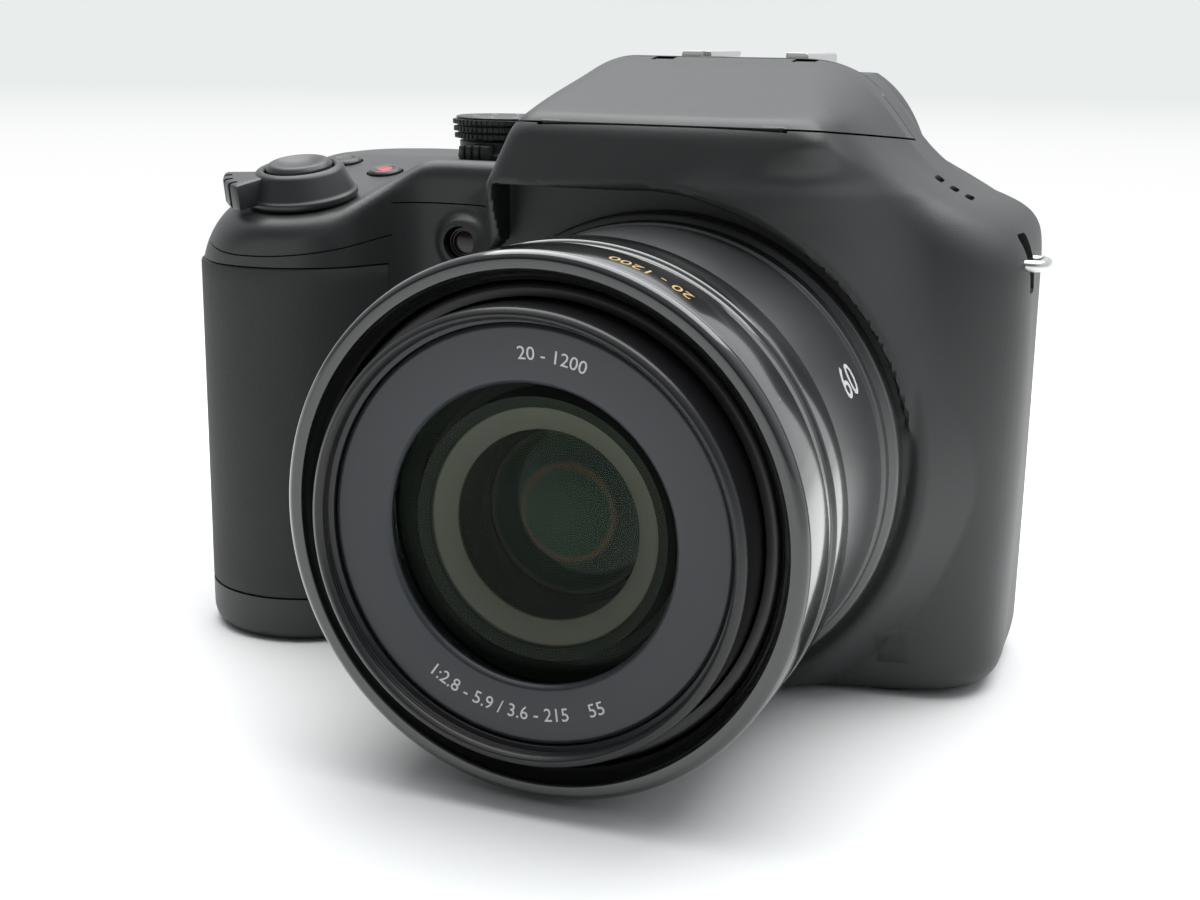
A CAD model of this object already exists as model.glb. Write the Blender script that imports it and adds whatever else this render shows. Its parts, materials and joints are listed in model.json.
import json
import math

import bmesh
import bpy
import numpy as np
from mathutils import Matrix, Vector


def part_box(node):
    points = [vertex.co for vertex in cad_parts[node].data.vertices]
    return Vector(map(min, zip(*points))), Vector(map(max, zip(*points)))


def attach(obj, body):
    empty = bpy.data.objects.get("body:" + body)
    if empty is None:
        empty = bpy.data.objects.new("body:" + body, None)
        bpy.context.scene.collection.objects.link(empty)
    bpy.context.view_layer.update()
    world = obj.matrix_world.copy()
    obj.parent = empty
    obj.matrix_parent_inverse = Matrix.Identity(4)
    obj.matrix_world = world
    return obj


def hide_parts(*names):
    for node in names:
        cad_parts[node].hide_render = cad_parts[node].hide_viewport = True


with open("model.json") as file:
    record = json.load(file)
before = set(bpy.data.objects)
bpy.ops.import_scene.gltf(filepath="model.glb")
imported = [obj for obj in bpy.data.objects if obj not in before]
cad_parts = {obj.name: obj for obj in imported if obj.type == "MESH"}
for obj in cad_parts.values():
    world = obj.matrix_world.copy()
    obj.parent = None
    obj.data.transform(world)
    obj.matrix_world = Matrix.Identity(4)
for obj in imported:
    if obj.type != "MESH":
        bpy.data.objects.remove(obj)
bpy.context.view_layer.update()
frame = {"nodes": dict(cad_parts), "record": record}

# Everything is drawn in millimetres in the frame of the CAD model and scaled once at the end.
MM = 0.001
FAR = 200


def span(node):
    """Lowest and highest corner of a CAD node."""
    lo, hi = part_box(node)
    return np.array(lo) / MM, np.array(hi) / MM


def middle(node):
    """Centre of a CAD node's box."""
    lo, hi = span(node)
    return (lo + hi) / 2


# Driving sizes, read from the CAD model
shell_lo, shell_hi = span("front_shell")
LEFT, GRIP_FRONT, BASE = shell_lo[0], shell_lo[1], 0.0
BODY_W = 130.0
RIGHT, PART_Y = LEFT + BODY_W, shell_hi[1]
TOP = span("power_switch")[0][2] - 0.3
HUMP_TOP = span("flash_head")[1][2]
BACK = span("lcd_glass")[1][1] + 0.2
EVF_BACK = span("rear_shell")[1][1]
LENS_Z = middle("lens_ring")[2]
RING_R = span("lens_ring")[1][0]
RING_FRONT, RING_BACK = span("lens_ring")[0][1], span("lens_ring")[1][1]
GAP, FIT, WALL = 0.3, 0.05, 2.2

# Body form
FRONT = -14.0
SHOULDER = TOP - 1.8
TAPER = math.radians(8.2)
GRIP_R = 16.4
GRIP_X = LEFT + GRIP_R
GRIP_Y = GRIP_FRONT + GRIP_R
GRIP_BACK = 8.0
TILT = math.radians(11)
SLOPE = math.tan(TILT)
COLLAR_FRONT = -22.0
RECESS_X, RECESS_Z, RECESS_R = -1.4, LENS_Z + 1.1, 38.0
RECESS_TOP = 75.2
RECESS_LEFT, RECESS_RIGHT = -25.2, 1.3
PANEL_TOP, PANEL_Y = 84.7, -28.0
PANEL_LEAN = 0.155
HINGE = HINGE_Y, HINGE_Z = 7.0, HUMP_TOP - 2.6
KNUCKLE_R = 2.6
EAR_W, EAR_AT = 3.0, (-13.0, 10.0)
EVF_Z = 78.0
COVER_RISE = (HUMP_TOP - PANEL_TOP - 0.3) / (HINGE_Y - PANEL_Y)
SEAM_Z, SEAM_SLOPE = 84.69, 0.075
PLATFORM = HUMP_TOP + 0.7 - 0.9 - 2.1
COVER_SEAM = 5.4
COVER_STEP_X = GRIP_X + GRIP_R + 1
HUMP_SIDE = 31.5
RUBBER_T, RUBBER_Z0, RUBBER_Z1 = 1.2, 7.5, TOP - 14.8
LAMP_X, LAMP_Z = middle("af_lamp")[::2]
COARSE_STEP, FINE_STEP = 1.2, 0.62


# Fields: distance outside of a form, negative inside, with soft joins

def soft_max(a, b, k):
    """Larger of two fields, with a rounded join of width k."""
    h = np.maximum(k - np.abs(a - b), 0)
    return np.maximum(a, b) + h * h / (4 * k)


def soft_min(a, b, k):
    return -soft_max(-a, -b, k)


def ramp(v, v0, v1):
    """Smooth step from 0 at v0 to 1 at v1."""
    t = np.clip((v - v0) / (v1 - v0), 0, 1)
    return t * t * (3 - 2 * t)


def right_side(x, y):
    """Far side of the body, which tapers inwards to the front."""
    return (x - RIGHT) * math.cos(TAPER) + (y - 1) * math.sin(TAPER)


def plan_field(x, y):
    """Outline of the body seen from above: the block and the grip on its left."""
    block = soft_max(right_side(x, y), FRONT - y, 15)
    block = soft_max(block, soft_max(y - BACK, right_side(x, y), 7), 0.01)
    block = np.maximum(block, GRIP_X - x)
    grip = np.hypot(x - GRIP_X, np.minimum(y - GRIP_Y, 0)) - GRIP_R
    grip = soft_max(grip, y - BACK, 7)
    return soft_min(block, grip, 0.01 + 9 * (1 - ramp(y, -8, 6)))


def top_height(x, y):
    """Height of the top: it falls towards the grip's front and slopes down on the far side."""
    fall = SLOPE * soft_max(GRIP_BACK - y, 0 * y, 5) * (1 - ramp(x, -54, -43))
    crown = 1.5 * ramp(-y, -2, 14) * ramp(x, -57, -42)
    shoulder = soft_max(SHOULDER + 0.9 - 0.48 * (x - 34), SHOULDER - 2.1 - 0.2 * (x - 38), 2)
    shoulder = np.minimum(shoulder + 0.02 * y, SHOULDER + 5.5)
    return TOP - fall + crown + (shoulder - TOP - crown) * ramp(x, -20, 20)


def hump_side(y, z):
    """Half width of the hump, which leans inwards above the lens recess."""
    lean = 0.46 * (PANEL_TOP - np.maximum(z, RECESS_TOP)) + 0.12 * np.maximum(RECESS_TOP - z, 0)
    return 22.5 + lean + 0.15 * (np.minimum(y, 12) - PANEL_Y)


def hump_field(x, y, z):
    """Hump over the lens: front panel, flanks and sloping cover."""
    panel = (PANEL_Y - PANEL_LEAN * (PANEL_TOP - z) + 0.0012 * x * x - y) / math.hypot(1, PANEL_LEAN)
    leg = (PANEL_Y - 1.5 + 0.52 * (RECESS_TOP - z) - y) / math.hypot(1, 0.52)
    panel = soft_max(panel, leg, 1)
    cover = (z - PANEL_TOP - 0.3 - COVER_RISE * (y - PANEL_Y)) / math.hypot(1, COVER_RISE)
    cover = soft_max(cover, z - HUMP_TOP, 1)
    narrow = ramp(x, 0, 10) * (0.15 * np.clip(y - 2, 0, 10) + 0.08 * np.maximum(y - 2, 0))
    flank = (np.abs(x) - hump_side(y, z) + narrow) / math.hypot(1, 0.46)
    hump = soft_max(panel, flank, 3 + 11 * ramp(x, -4, 8) * (1 - ramp(z, 77, 83)))
    hump = soft_max(hump, cover, 3.2 + 3 * ramp(y, -20, 8) + 4.5 * ramp(y, -24, 6) * ramp(x, 0, 10))
    hump = soft_max(hump, y - BACK + 1, 8)
    return soft_max(hump, 60 - z, 3)


def brow_field(x, y, z):
    """Brow that runs from the hump round the far side of the lens and fades towards the base."""
    angle = np.arctan2(z - RECESS_Z, np.maximum(x - RECESS_X, 0.01))
    reach = np.hypot(x - RECESS_X, z - RECESS_Z)
    crease = COLLAR_FRONT - 0.5 - np.where(angle > 0, 7, 4) * np.sin(angle)
    steep = 1.3 - 0.7 * ramp(-angle, 0.2, 1.2)
    brow = (crease + steep * (reach - RECESS_R) - y) / np.hypot(1, steep)
    brow = soft_max(brow, right_side(x, y), 16)
    brow = soft_max(brow, y - PART_Y + 4, 1)
    return soft_max(brow, -x, 1)


def collar_field(x, y, z):
    """Cone round the root of the lens barrel."""
    reach = np.hypot(x, z - LENS_Z)
    cone = (reach - 39 - 0.7 * (y - COLLAR_FRONT)) / math.hypot(1, 0.7)
    return soft_max(cone, np.maximum(COLLAR_FRONT - y, y + 10), 1)


def recess_field(x, y, z):
    """Hollow round the lens, with a flat ceiling under the hump."""
    ring = np.hypot(x - RECESS_X, z - RECESS_Z) - RECESS_R
    wide, high = np.maximum(RECESS_LEFT - x, x - RECESS_RIGHT), np.maximum(z - RECESS_TOP, LENS_Z - z)
    return np.maximum(np.minimum(ring, np.maximum(wide, high)), y - COLLAR_FRONT)


def evf_field(x, y, z):
    """Housing of the viewfinder."""
    half_w, half_h, corner = 20, 11.5, 6
    u = np.maximum(np.abs(x) - half_w + corner, 0)
    v = np.maximum(np.abs(z - EVF_Z) - half_h + corner, 0)
    return soft_max(np.hypot(u, v) - corner, np.maximum(y - EVF_BACK, 20 - y), 2.5)


def body_field(p):
    """Whole casing: block, grip, brow, hump, collar and viewfinder, less the recess."""
    x, y, z = p[:, 0], p[:, 1], p[:, 2]
    edge = 3.2 + 9.8 * (1 - ramp(x, -80, -62)) + 4.4 * ramp(x, 20, 46)
    foot = 3.4 + 2.6 * ramp(x, 20, 45)
    below = (z - top_height(x, y)) * math.cos(TILT)
    body = soft_max(plan_field(x, y), below, edge)
    brow = soft_max(brow_field(x, y, z), below, 4.5)
    hump = hump_field(x, y, z)
    body = soft_min(body, brow, 7)
    join = np.where(x < 0, 2 + 6 * ramp(-z, -76, -70), 2 + 5 * ramp(x, 0, 12))
    body = soft_min(body, hump, 0.5 + (join - 0.5) * (1 - ramp(y, 14, 30)))
    body = soft_min(body, collar_field(x, y, z), 3 - 2.9 * ramp(x, -2, 10))
    body = soft_min(body, evf_field(x, y, z), 2.5)
    rim = np.hypot(x - LAMP_X, z - LAMP_Z) - 4
    body = soft_min(body, soft_max(rim, np.maximum(FRONT - 1.6 - y, y), 1), 1.5)
    body = soft_max(body, -recess_field(x, y, z), 0.9 + 0.9 * ramp(x, -20, 10))
    return soft_max(body, BASE - z, foot)


def slope_of(field, p, d=0.02):
    """Gradient of a field."""
    g = np.empty_like(p)
    for i in range(3):
        step = np.zeros(3)
        step[i] = d
        g[:, i] = (field(p + step) - field(p - step)) / (2 * d)
    return g


def surface_of(field, lo, hi, step):
    """Closed quad mesh of a field's zero surface, one vertex per crossed cell, drawn onto the surface."""
    axes = [np.arange(a, b + step, step) for a, b in zip(lo, hi)]
    shape = [len(a) for a in axes]
    d = np.empty(shape)
    for i, x in enumerate(axes[0]):
        v, w = np.meshgrid(axes[1], axes[2], indexing="ij")
        p = np.stack([np.full(v.size, x), v.ravel(), w.ravel()], 1)
        d[i] = field(p).reshape(v.shape)
    solid = d < 0
    corners = [np.array([a, b, c]) for a in (0, 1) for b in (0, 1) for c in (0, 1)]

    def at(values, c):
        return values[c[0]:shape[0] - 1 + c[0], c[1]:shape[1] - 1 + c[1], c[2]:shape[2] - 1 + c[2]]

    count = sum(at(solid, c).astype(int) for c in corners)
    mixed = (count > 0) & (count < 8)
    cell = np.argwhere(mixed)
    number = np.full(mixed.shape, -1)
    number[mixed] = np.arange(len(cell))
    total, hits = np.zeros((len(cell), 3)), np.zeros(len(cell))
    for a in corners:
        for axis in range(3):
            if a[axis]:
                continue
            b = a.copy()
            b[axis] = 1
            da, db = d[tuple((cell + a).T)], d[tuple((cell + b).T)]
            cross = (da < 0) != (db < 0)
            t = np.where(cross, da / np.where(cross, da - db, 1), 0)
            total += cross[:, None] * (a + t[:, None] * (b - a))
            hits += cross
    verts = np.array([a[0] for a in axes]) + (cell + total / hits[:, None]) * step
    quads = []
    for axis in range(3):
        u, v = np.eye(3, dtype=int)[(axis + 1) % 3], np.eye(3, dtype=int)[(axis + 2) % 3]
        ahead = np.roll(solid, -1, axis)
        edge = np.argwhere(solid != ahead)
        keep = (edge[:, axis] < shape[axis] - 1)
        for other in ((axis + 1) % 3, (axis + 2) % 3):
            keep &= (edge[:, other] > 0) & (edge[:, other] < shape[other] - 1)
        edge = edge[keep]
        ring = np.stack([number[tuple((edge - s).T)] for s in (0 * u, u, u + v, v)], 1)
        inward = ~solid[tuple(edge.T)]
        ring[inward] = ring[inward][:, ::-1]
        quads.append(ring)
    for _ in range(4):
        g = slope_of(field, verts)
        push = (field(verts) / np.maximum((g * g).sum(1), 0.05))[:, None] * g
        length = np.linalg.norm(push, axis=1, keepdims=True)
        verts -= push * np.minimum(1, 0.4 * step / np.maximum(length, 1e-9))
    return verts, np.concatenate(quads)


# Meshes and solids

def object_of(name, data):
    """New object in the scene."""
    obj = bpy.data.objects.new(name, data)
    bpy.context.scene.collection.objects.link(obj)
    return obj


def raw(name, verts, faces):
    """Object from plain lists of points and faces."""
    mesh = bpy.data.meshes.new(name)
    points = [tuple(v) for v in np.asarray(verts, float)]
    mesh.from_pydata(points, [], [tuple(int(i) for i in f) for f in faces])
    mesh.validate()
    return object_of(name, mesh)


def strip(rows, n, rows_close, n_close):
    """Quads between neighbouring rows of n points, which may close round either way."""
    return [(r * n + i, r * n + (i + 1) % n, (r + 1) % rows * n + (i + 1) % n, (r + 1) % rows * n + i)
            for r in range(rows - (not rows_close)) for i in range(n - (not n_close))]


def outward(obj):
    """Turns all faces outwards."""
    bm = bmesh.new()
    bm.from_mesh(obj.data)
    bmesh.ops.recalc_face_normals(bm, faces=bm.faces)
    bm.to_mesh(obj.data)
    bm.free()
    return obj


def evaluated(obj):
    """Applies an object's modifiers for good."""
    graph = bpy.context.evaluated_depsgraph_get()
    mesh = bpy.data.meshes.new_from_object(obj.evaluated_get(graph))
    obj.modifiers.clear()
    old = obj.data
    obj.data = mesh
    bpy.data.meshes.remove(old)
    return obj


def drop(obj):
    """Removes an object and its mesh."""
    mesh = obj.data
    bpy.data.objects.remove(obj)
    bpy.data.meshes.remove(mesh)


def combine(obj, tools, how="DIFFERENCE"):
    """Cuts away, joins on or keeps the overlap with each tool, which is used up."""
    for tool in tools:
        step = obj.modifiers.new("combine", "BOOLEAN")
        step.solver, step.operation, step.object = "MANIFOLD", how, tool
        evaluated(obj)
        drop(tool)
    return obj


def copy_of(obj, name):
    """Copy of an object with a mesh of its own."""
    return object_of(name, obj.data.copy())


def prism(points, axis, lo, hi):
    """Flat outline drawn out along an axis. Points are in the other two axes, in the order x, y, z."""
    n = len(points)
    verts = np.zeros((2 * n, 3))
    verts[:, [i for i in range(3) if i != axis]] = np.tile(points, (2, 1))
    verts[:n, axis], verts[n:, axis] = lo, hi
    return outward(raw("prism", verts, [range(n), range(n, 2 * n), *strip(2, n, False, True)]))


def block(x0, x1, y0, y1, z0, z1):
    """Plain box between two planes on each axis."""
    return prism([(x0, y0), (x1, y0), (x1, y1), (x0, y1)], 2, z0, z1)


def bar(axis, at, r, lo, hi, steps=64):
    """Round bar along an axis; at holds the other two coordinates."""
    ring = [(at[0] + r * math.cos(a), at[1] + r * math.sin(a)) for a in turn(steps)]
    return prism(ring, axis, lo, hi)


def turn(steps):
    """Angles of a full turn in equal steps."""
    return [2 * math.pi * i / steps for i in range(steps)]


def arc(centre, r, a0, a1, steps):
    """Points on an arc, with its angles in degrees."""
    angles = [math.radians(a0 + (a1 - a0) * i / steps) for i in range(steps + 1)]
    return [(centre[0] + r * math.cos(a), centre[1] + r * math.sin(a)) for a in angles]


def rounded(x0, x1, y0, y1, r, steps=8):
    """Outline of a rectangle with one radius, or four from the upper right corner round."""
    radii = [r] * 4 if np.isscalar(r) else r
    corners = ((x1, y1, -1, -1), (x0, y1, 1, -1), (x0, y0, 1, 1), (x1, y0, -1, 1))
    made = []
    for i, (r, (x, y, to_x, to_y)) in enumerate(zip(radii, corners)):
        made += arc((x + to_x * r, y + to_y * r), r, 90 * i, 90 * (i + 1), steps)
    return made


def eased(points, ease, steps=4):
    """Closed outline with rounded corners. A third number in a point is its own rounding."""
    made = []
    n = len(points)
    for i, point in enumerate(points):
        here = np.array(point[:2], float)
        before, after = np.array(points[i - 1][:2], float), np.array(points[(i + 1) % n][:2], float)
        size = point[2] if len(point) > 2 else ease
        a, b = before - here, after - here
        la, lb = np.linalg.norm(a), np.linalg.norm(b)
        cut = min(size, 0.45 * la, 0.45 * lb)
        if cut < 1e-4 or point[0] < 1e-6:
            made.append(tuple(here))
            continue
        start, end = here + a / la * cut, here + b / lb * cut
        for t in np.linspace(0, 1, steps + 1):
            made.append(tuple((1 - t) ** 2 * start + 2 * t * (1 - t) * here + t * t * end))
    return made


def lathe(name, outline, place, steps=192):
    """Turned shape from a closed outline of radius and height; place puts u, v and height in the frame."""
    angles = np.array(turn(steps))
    verts, rings = [], []
    for r, h in outline:
        if r < 1e-6:
            rings.append([len(verts)] * steps)
            verts.append((0, 0, h))
        else:
            rings.append(list(range(len(verts), len(verts) + steps)))
            verts += [(r * math.cos(a), r * math.sin(a), h) for a in angles]
    faces = []
    for i, ring in enumerate(rings):
        after = rings[(i + 1) % len(rings)]
        for j in range(steps):
            k = (j + 1) % steps
            face = list(dict.fromkeys((ring[j], ring[k], after[k], after[j])))
            if len(face) > 2:
                faces.append(face)
    verts = np.array(verts)
    return outward(raw(name, np.stack(place(verts[:, 0], verts[:, 1], verts[:, 2]), 1), faces))


def on_lens(u, v, h):
    """Frame on the lens axis."""
    return u, h, LENS_Z + v


def upright(x, y):
    return lambda u, v, h: (x + u, y + v, h)


def along_y(x, z):
    return lambda u, v, h: (x + u, h, z + v)


def along_x(y, z):
    return lambda u, v, h: (h, y + u, z + v)


def grip_plane(y):
    """Height of the sloping top of the grip."""
    return TOP - SLOPE * max(0.0, GRIP_BACK - y)


def on_grip(x, y):
    """Frame on the sloping top of the grip."""
    c, s = math.cos(TILT), math.sin(TILT)
    return lambda u, v, h: (x + u, y + v * c - h * s, grip_plane(y) + v * s + h * c)


def soften(obj, width, angle=40, steps=2):
    """Rounds the sharp edges of a solid."""
    bm = bmesh.new()
    bm.from_mesh(obj.data)
    sharp = [e for e in bm.edges if e.is_manifold and e.calc_face_angle(0) > math.radians(angle)]
    bmesh.ops.bevel(bm, geom=sharp, offset=width, segments=steps, profile=0.5, affect="EDGES",
                    clamp_overlap=True)
    bm.to_mesh(obj.data)
    bm.free()
    return obj


def joined(name, parts):
    """One object from several meshes."""
    bm = bmesh.new()
    for part in parts:
        bm.from_mesh(part.data)
        drop(part)
    mesh = bpy.data.meshes.new(name)
    bm.to_mesh(mesh)
    bm.free()
    return object_of(name, mesh)


slot_of = {row["node"]: row.get("material_slot") for row in frame["record"]["subparts"]}


def piece(obj, name, body, look, node=None, smooth=32):
    """Turns a drawn solid into a finished piece that rides on a CAD body and stands for a CAD node."""
    obj.name = obj.data.name = name
    obj.data.transform(Matrix.Scale(MM, 4))
    obj.data.shade_smooth()
    obj.data.set_sharp_from_angle(angle=math.radians(smooth))
    obj.data.materials.clear()
    obj.data.materials.append(look)
    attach(obj, body)
    if node:
        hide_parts(node)


def spun(outline, place, steps, name, body, look, node=None, ease=0.1):
    """Finished piece turned from an outline with eased edges."""
    piece(lathe(name, eased(outline, ease), place, steps), name, body, look, node)


# Node trees

def new_nodes(tree, *kinds):
    """New nodes of the given kinds, in that order."""
    return [tree.nodes.new(kind) for kind in kinds]


def link(tree, *joins):
    """Joins sockets; each join names a node and its output, then a node and its input."""
    for source, out, target, into in joins:
        tree.links.new(source.outputs[out], target.inputs[into])


# Materials

LOOKS = {}


def finish_of(name, colour, rough, grain=0.0, grain_size=0.4, mottle=0.1, mottle_size=14, **shader):
    """Plastic, rubber or metal with a fine grain in the surface and a slight change of sheen."""
    mat = LOOKS[name] = bpy.data.materials.new(name)
    mat.use_nodes = True
    tree = mat.node_tree
    bsdf, place = tree.nodes["Principled BSDF"], tree.nodes.new("ShaderNodeTexCoord")
    bsdf.inputs["Base Color"].default_value = (*colour, 1)
    bsdf.inputs["Roughness"].default_value = rough
    for socket, value in shader.items():
        bsdf.inputs[socket.replace("_", " ").title().replace("Ior", "IOR")].default_value = value

    def noise(size, detail):
        tex = tree.nodes.new("ShaderNodeTexNoise")
        tex.inputs["Scale"].default_value = 1 / (size * MM)
        tex.inputs["Detail"].default_value = detail
        link(tree, (place, "Object", tex, "Vector"))
        return tex

    if mottle:
        sheen = tree.nodes.new("ShaderNodeMapRange")
        sheen.inputs["To Min"].default_value = rough * (1 - mottle)
        sheen.inputs["To Max"].default_value = rough * (1 + mottle)
        link(tree, (noise(mottle_size, 3), "Fac", sheen, "Value"), (sheen, "Result", bsdf, "Roughness"))
    if grain:
        bump = tree.nodes.new("ShaderNodeBump")
        bump.inputs["Distance"].default_value = grain * MM
        bump.inputs["Strength"].default_value = 1
        link(tree, (noise(grain_size, 2), "Fac", bump, "Height"), (bump, "Normal", bsdf, "Normal"))
    return mat


def ringed(mat, radius, rings):
    """Tints a material in rings round the lens axis, each given at its share of a radius."""
    tree = mat.node_tree
    place, bsdf = tree.nodes["Texture Coordinate"], tree.nodes["Principled BSDF"]
    off, reach, tint = new_nodes(tree, "ShaderNodeVectorMath", "ShaderNodeVectorMath",
                                 "ShaderNodeValToRGB")
    off.operation, reach.operation = "MULTIPLY_ADD", "LENGTH"
    off.inputs[1].default_value = (1 / (radius * MM), 0, 1 / (radius * MM))
    off.inputs[2].default_value = (0, 0, -LENS_Z / radius)
    for i, (at, colour) in enumerate(rings):
        stop = tint.color_ramp.elements[i] if i < 2 else tint.color_ramp.elements.new(at)
        stop.position, stop.color = at, (*colour, 1)
    link(tree, (place, "Object", off, 0), (off, "Vector", reach, 0), (reach, "Value", tint, "Fac"),
         (tint, "Color", bsdf, "Base Color"))
    return mat


COATING = [(0.0, (0.012, 0.026, 0.014)), (0.46, (0.008, 0.02, 0.01)), (0.52, (0.035, 0.022, 0.008)),
           (0.58, (0.006, 0.014, 0.008)), (0.84, (0.01, 0.018, 0.01)), (0.9, (0.03, 0.035, 0.026)),
           (0.95, (0.004, 0.006, 0.004))]
OLIVE = [(0.0, (0.006, 0.009, 0.006)), (0.585, (0.008, 0.011, 0.007)), (0.595, (0.11, 0.11, 0.086)),
         (0.73, (0.135, 0.135, 0.107)), (0.74, (0.02, 0.025, 0.019)), (1.0, (0.035, 0.042, 0.036))]
CASING = finish_of("casing", (0.021, 0.022, 0.0225), 0.46, grain=0.02, grain_size=0.35)
COVER = finish_of("cover", (0.022, 0.023, 0.0235), 0.42, grain=0.015, grain_size=0.35)
RUBBER = finish_of("rubber", (0.018, 0.0185, 0.019), 0.66, grain=0.08, grain_size=0.6)
BARREL = finish_of("barrel_satin", (0.03, 0.031, 0.032), 0.3, ior=1.9, grain=0.004, grain_size=0.3)
RING = finish_of("ring_gloss", (0.012, 0.0125, 0.013), 0.14, mottle=0.15, coat_weight=1.0,
                 coat_roughness=0.06)
LENS_BLACK = finish_of("lens_black", (0.008, 0.008, 0.009), 0.32)
PLATE = finish_of("name_plate", (0.022, 0.026, 0.031), 0.36, grain=0.006, grain_size=0.25, mottle=0.08)
GLASS = finish_of("front_glass", (0.9, 0.97, 0.92), 0.0, mottle=0, transmission_weight=1.0, ior=1.12)
INNER_GLASS = ringed(finish_of("inner_glass", COATING[0][1], 0.08, mottle=0, ior=1.22), 12, COATING)
BAFFLE = ringed(finish_of("baffle", OLIVE[2][1], 0.7, ior=1.2), 21, OLIVE)
INNER = finish_of("inner_plastic", (0.03, 0.031, 0.033), 0.5)
STEEL = finish_of("steel", (0.62, 0.62, 0.61), 0.3, grain=0.003, grain_size=0.2, mottle=0.2, metallic=1.0)
finish_of("board", (0.014, 0.075, 0.035), 0.45, mottle=0.15)
finish_of("battery", (0.045, 0.06, 0.08), 0.5)
SCREEN = finish_of("screen", (0.004, 0.005, 0.006), 0.07, mottle=0.2, coat_weight=0.5)
LAMP = finish_of("lamp", (0.012, 0.004, 0.004), 0.2)
finish_of("gear", (0.5, 0.47, 0.38), 0.5)
WINDOW = finish_of("window", (0.75, 0.78, 0.8), 0.15, coat_weight=0.4)
BUTTON = finish_of("button", (0.023, 0.024, 0.025), 0.36, grain=0.006, grain_size=0.3)
DIAL = finish_of("dial", (0.02, 0.021, 0.022), 0.4, grain=0.006, grain_size=0.3)
MARKS = finish_of("marks", (0.55, 0.56, 0.56), 0.5)
GOLD = finish_of("gold_marks", (0.5, 0.33, 0.12), 0.4)
BRASS = finish_of("brass", (0.75, 0.6, 0.32), 0.3, mottle=0.15, metallic=1.0)
EYEPIECE = finish_of("eyepiece", (0.012, 0.014, 0.02), 0.05, coat_weight=0.6)
RED = finish_of("movie_red", (0.42, 0.012, 0.014), 0.35)


# Spaces shared by the casing parts

def seam_at(y):
    """Height of the flash cover's seam."""
    return SEAM_Z - SEAM_SLOPE * (y + 29.5)


def flash_space(clear):
    """Space of the flash head, above its seam and ahead of its hinge."""
    back = HINGE_Y + clear
    side = [(-FAR, seam_at(-FAR) - clear), (back, seam_at(HINGE_Y) - clear), (back, FAR), (-FAR, FAR)]
    return combine(prism(side, 0, -FAR, FAR), [bar(0, HINGE, KNUCKLE_R + clear, -FAR, FAR)], "UNION")


def above_cover(clear):
    """Space above the seam of the top cover on the grip side."""
    low = COVER_SEAM - clear
    side = [(-FAR, grip_plane(-FAR) - low), (GRIP_BACK, TOP - low), (FAR, TOP - low), (FAR, FAR),
            (-FAR, FAR)]
    space = prism(side, 0, -FAR, COVER_STEP_X)
    beside = block(COVER_STEP_X - 1, -HUMP_SIDE - clear, -FAR, FAR, TOP - low, FAR)
    return combine(space, [beside], "UNION")


def platform_cut():
    """Flat for the accessory shoe, behind the flash hinge."""
    return block(-FAR, FAR, HINGE_Y + KNUCKLE_R + GAP, 31, PLATFORM, FAR)


def rubber_path(offset, y0, y1):
    """Points round the grip at a distance from its face, from the left side to the lens side."""
    seeds = [(GRIP_X - GRIP_R, y) for y in np.linspace(y0, GRIP_Y, 8)]
    seeds += arc((GRIP_X, GRIP_Y), GRIP_R, 180, 330, 48)[1:]
    seeds += [(GRIP_X + GRIP_R, y) for y in np.linspace(GRIP_Y - 5, y1, 10)]
    at = np.array(seeds, float)
    h = 0.01
    for _ in range(12):
        x, y = at[:, 0], at[:, 1]
        along = plan_field(x + h, y) - plan_field(x - h, y)
        across = plan_field(x, y + h) - plan_field(x, y - h)
        g = np.stack([along, across], 1) / (2 * h)
        at -= ((plan_field(x, y) - offset) / np.maximum((g * g).sum(1), 0.3))[:, None] * g
    return [tuple(a) for a in at]


def grip_skin(inner, outer, y0, y1, z0, z1, ease):
    """Sheet round the grip with eased outer edges."""
    levels = [(z0, inner), (z0, outer - ease), (z0 + 0.3 * ease, outer - 0.3 * ease), (z0 + ease, outer)]
    levels += [(z, outer) for z in np.linspace(z0 + ease, z1 - ease, 24)[1:-1]]
    levels += [(z1 - ease, outer), (z1 - 0.3 * ease, outer - 0.3 * ease), (z1, outer - ease), (z1, inner)]
    verts = [(x, y, z) for z, offset in levels for x, y in rubber_path(offset, y0, y1)]
    rows, n = len(levels), len(verts) // len(levels)
    ends = [[r * n + at for r in range(rows)] for at in (0, n - 1)]
    return outward(raw("skin", verts, strip(rows, n, True, False) + ends))


def casing_cuts():
    """Bores, pockets and hollows of the front casing."""
    tunnel = [(0, TUNNEL_FRONT), (TUNNEL_R, TUNNEL_FRONT), (TUNNEL_R, TUNNEL_BACK), (0, TUNNEL_BACK)]
    seam = 0.12
    cuts = [above_cover(0), flash_space(GAP), platform_cut(), flash_bay(), main_hollow(), evf_hollow(),
            lathe("tunnel", tunnel, on_lens)]
    cuts += grip_hollows() + door_pocket() + terminal_pocket() + eyelet_pockets()
    cuts.append(grip_skin(-RUBBER_T, 3, RUBBER_SIDE_Y + seam, RUBBER_END_Y + seam, RUBBER_Z0 - seam,
                          RUBBER_Z1 + seam, 0.01))
    cuts.append(bar(1, (LAMP_X, LAMP_Z), 2.75, -FAR, FRONT + 4))
    return cuts + shoe_pocket() + wheel_pocket() + speaker_slots() + [bar(0, FLASH_KEY, 2.7, -FAR, 0)]


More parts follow.
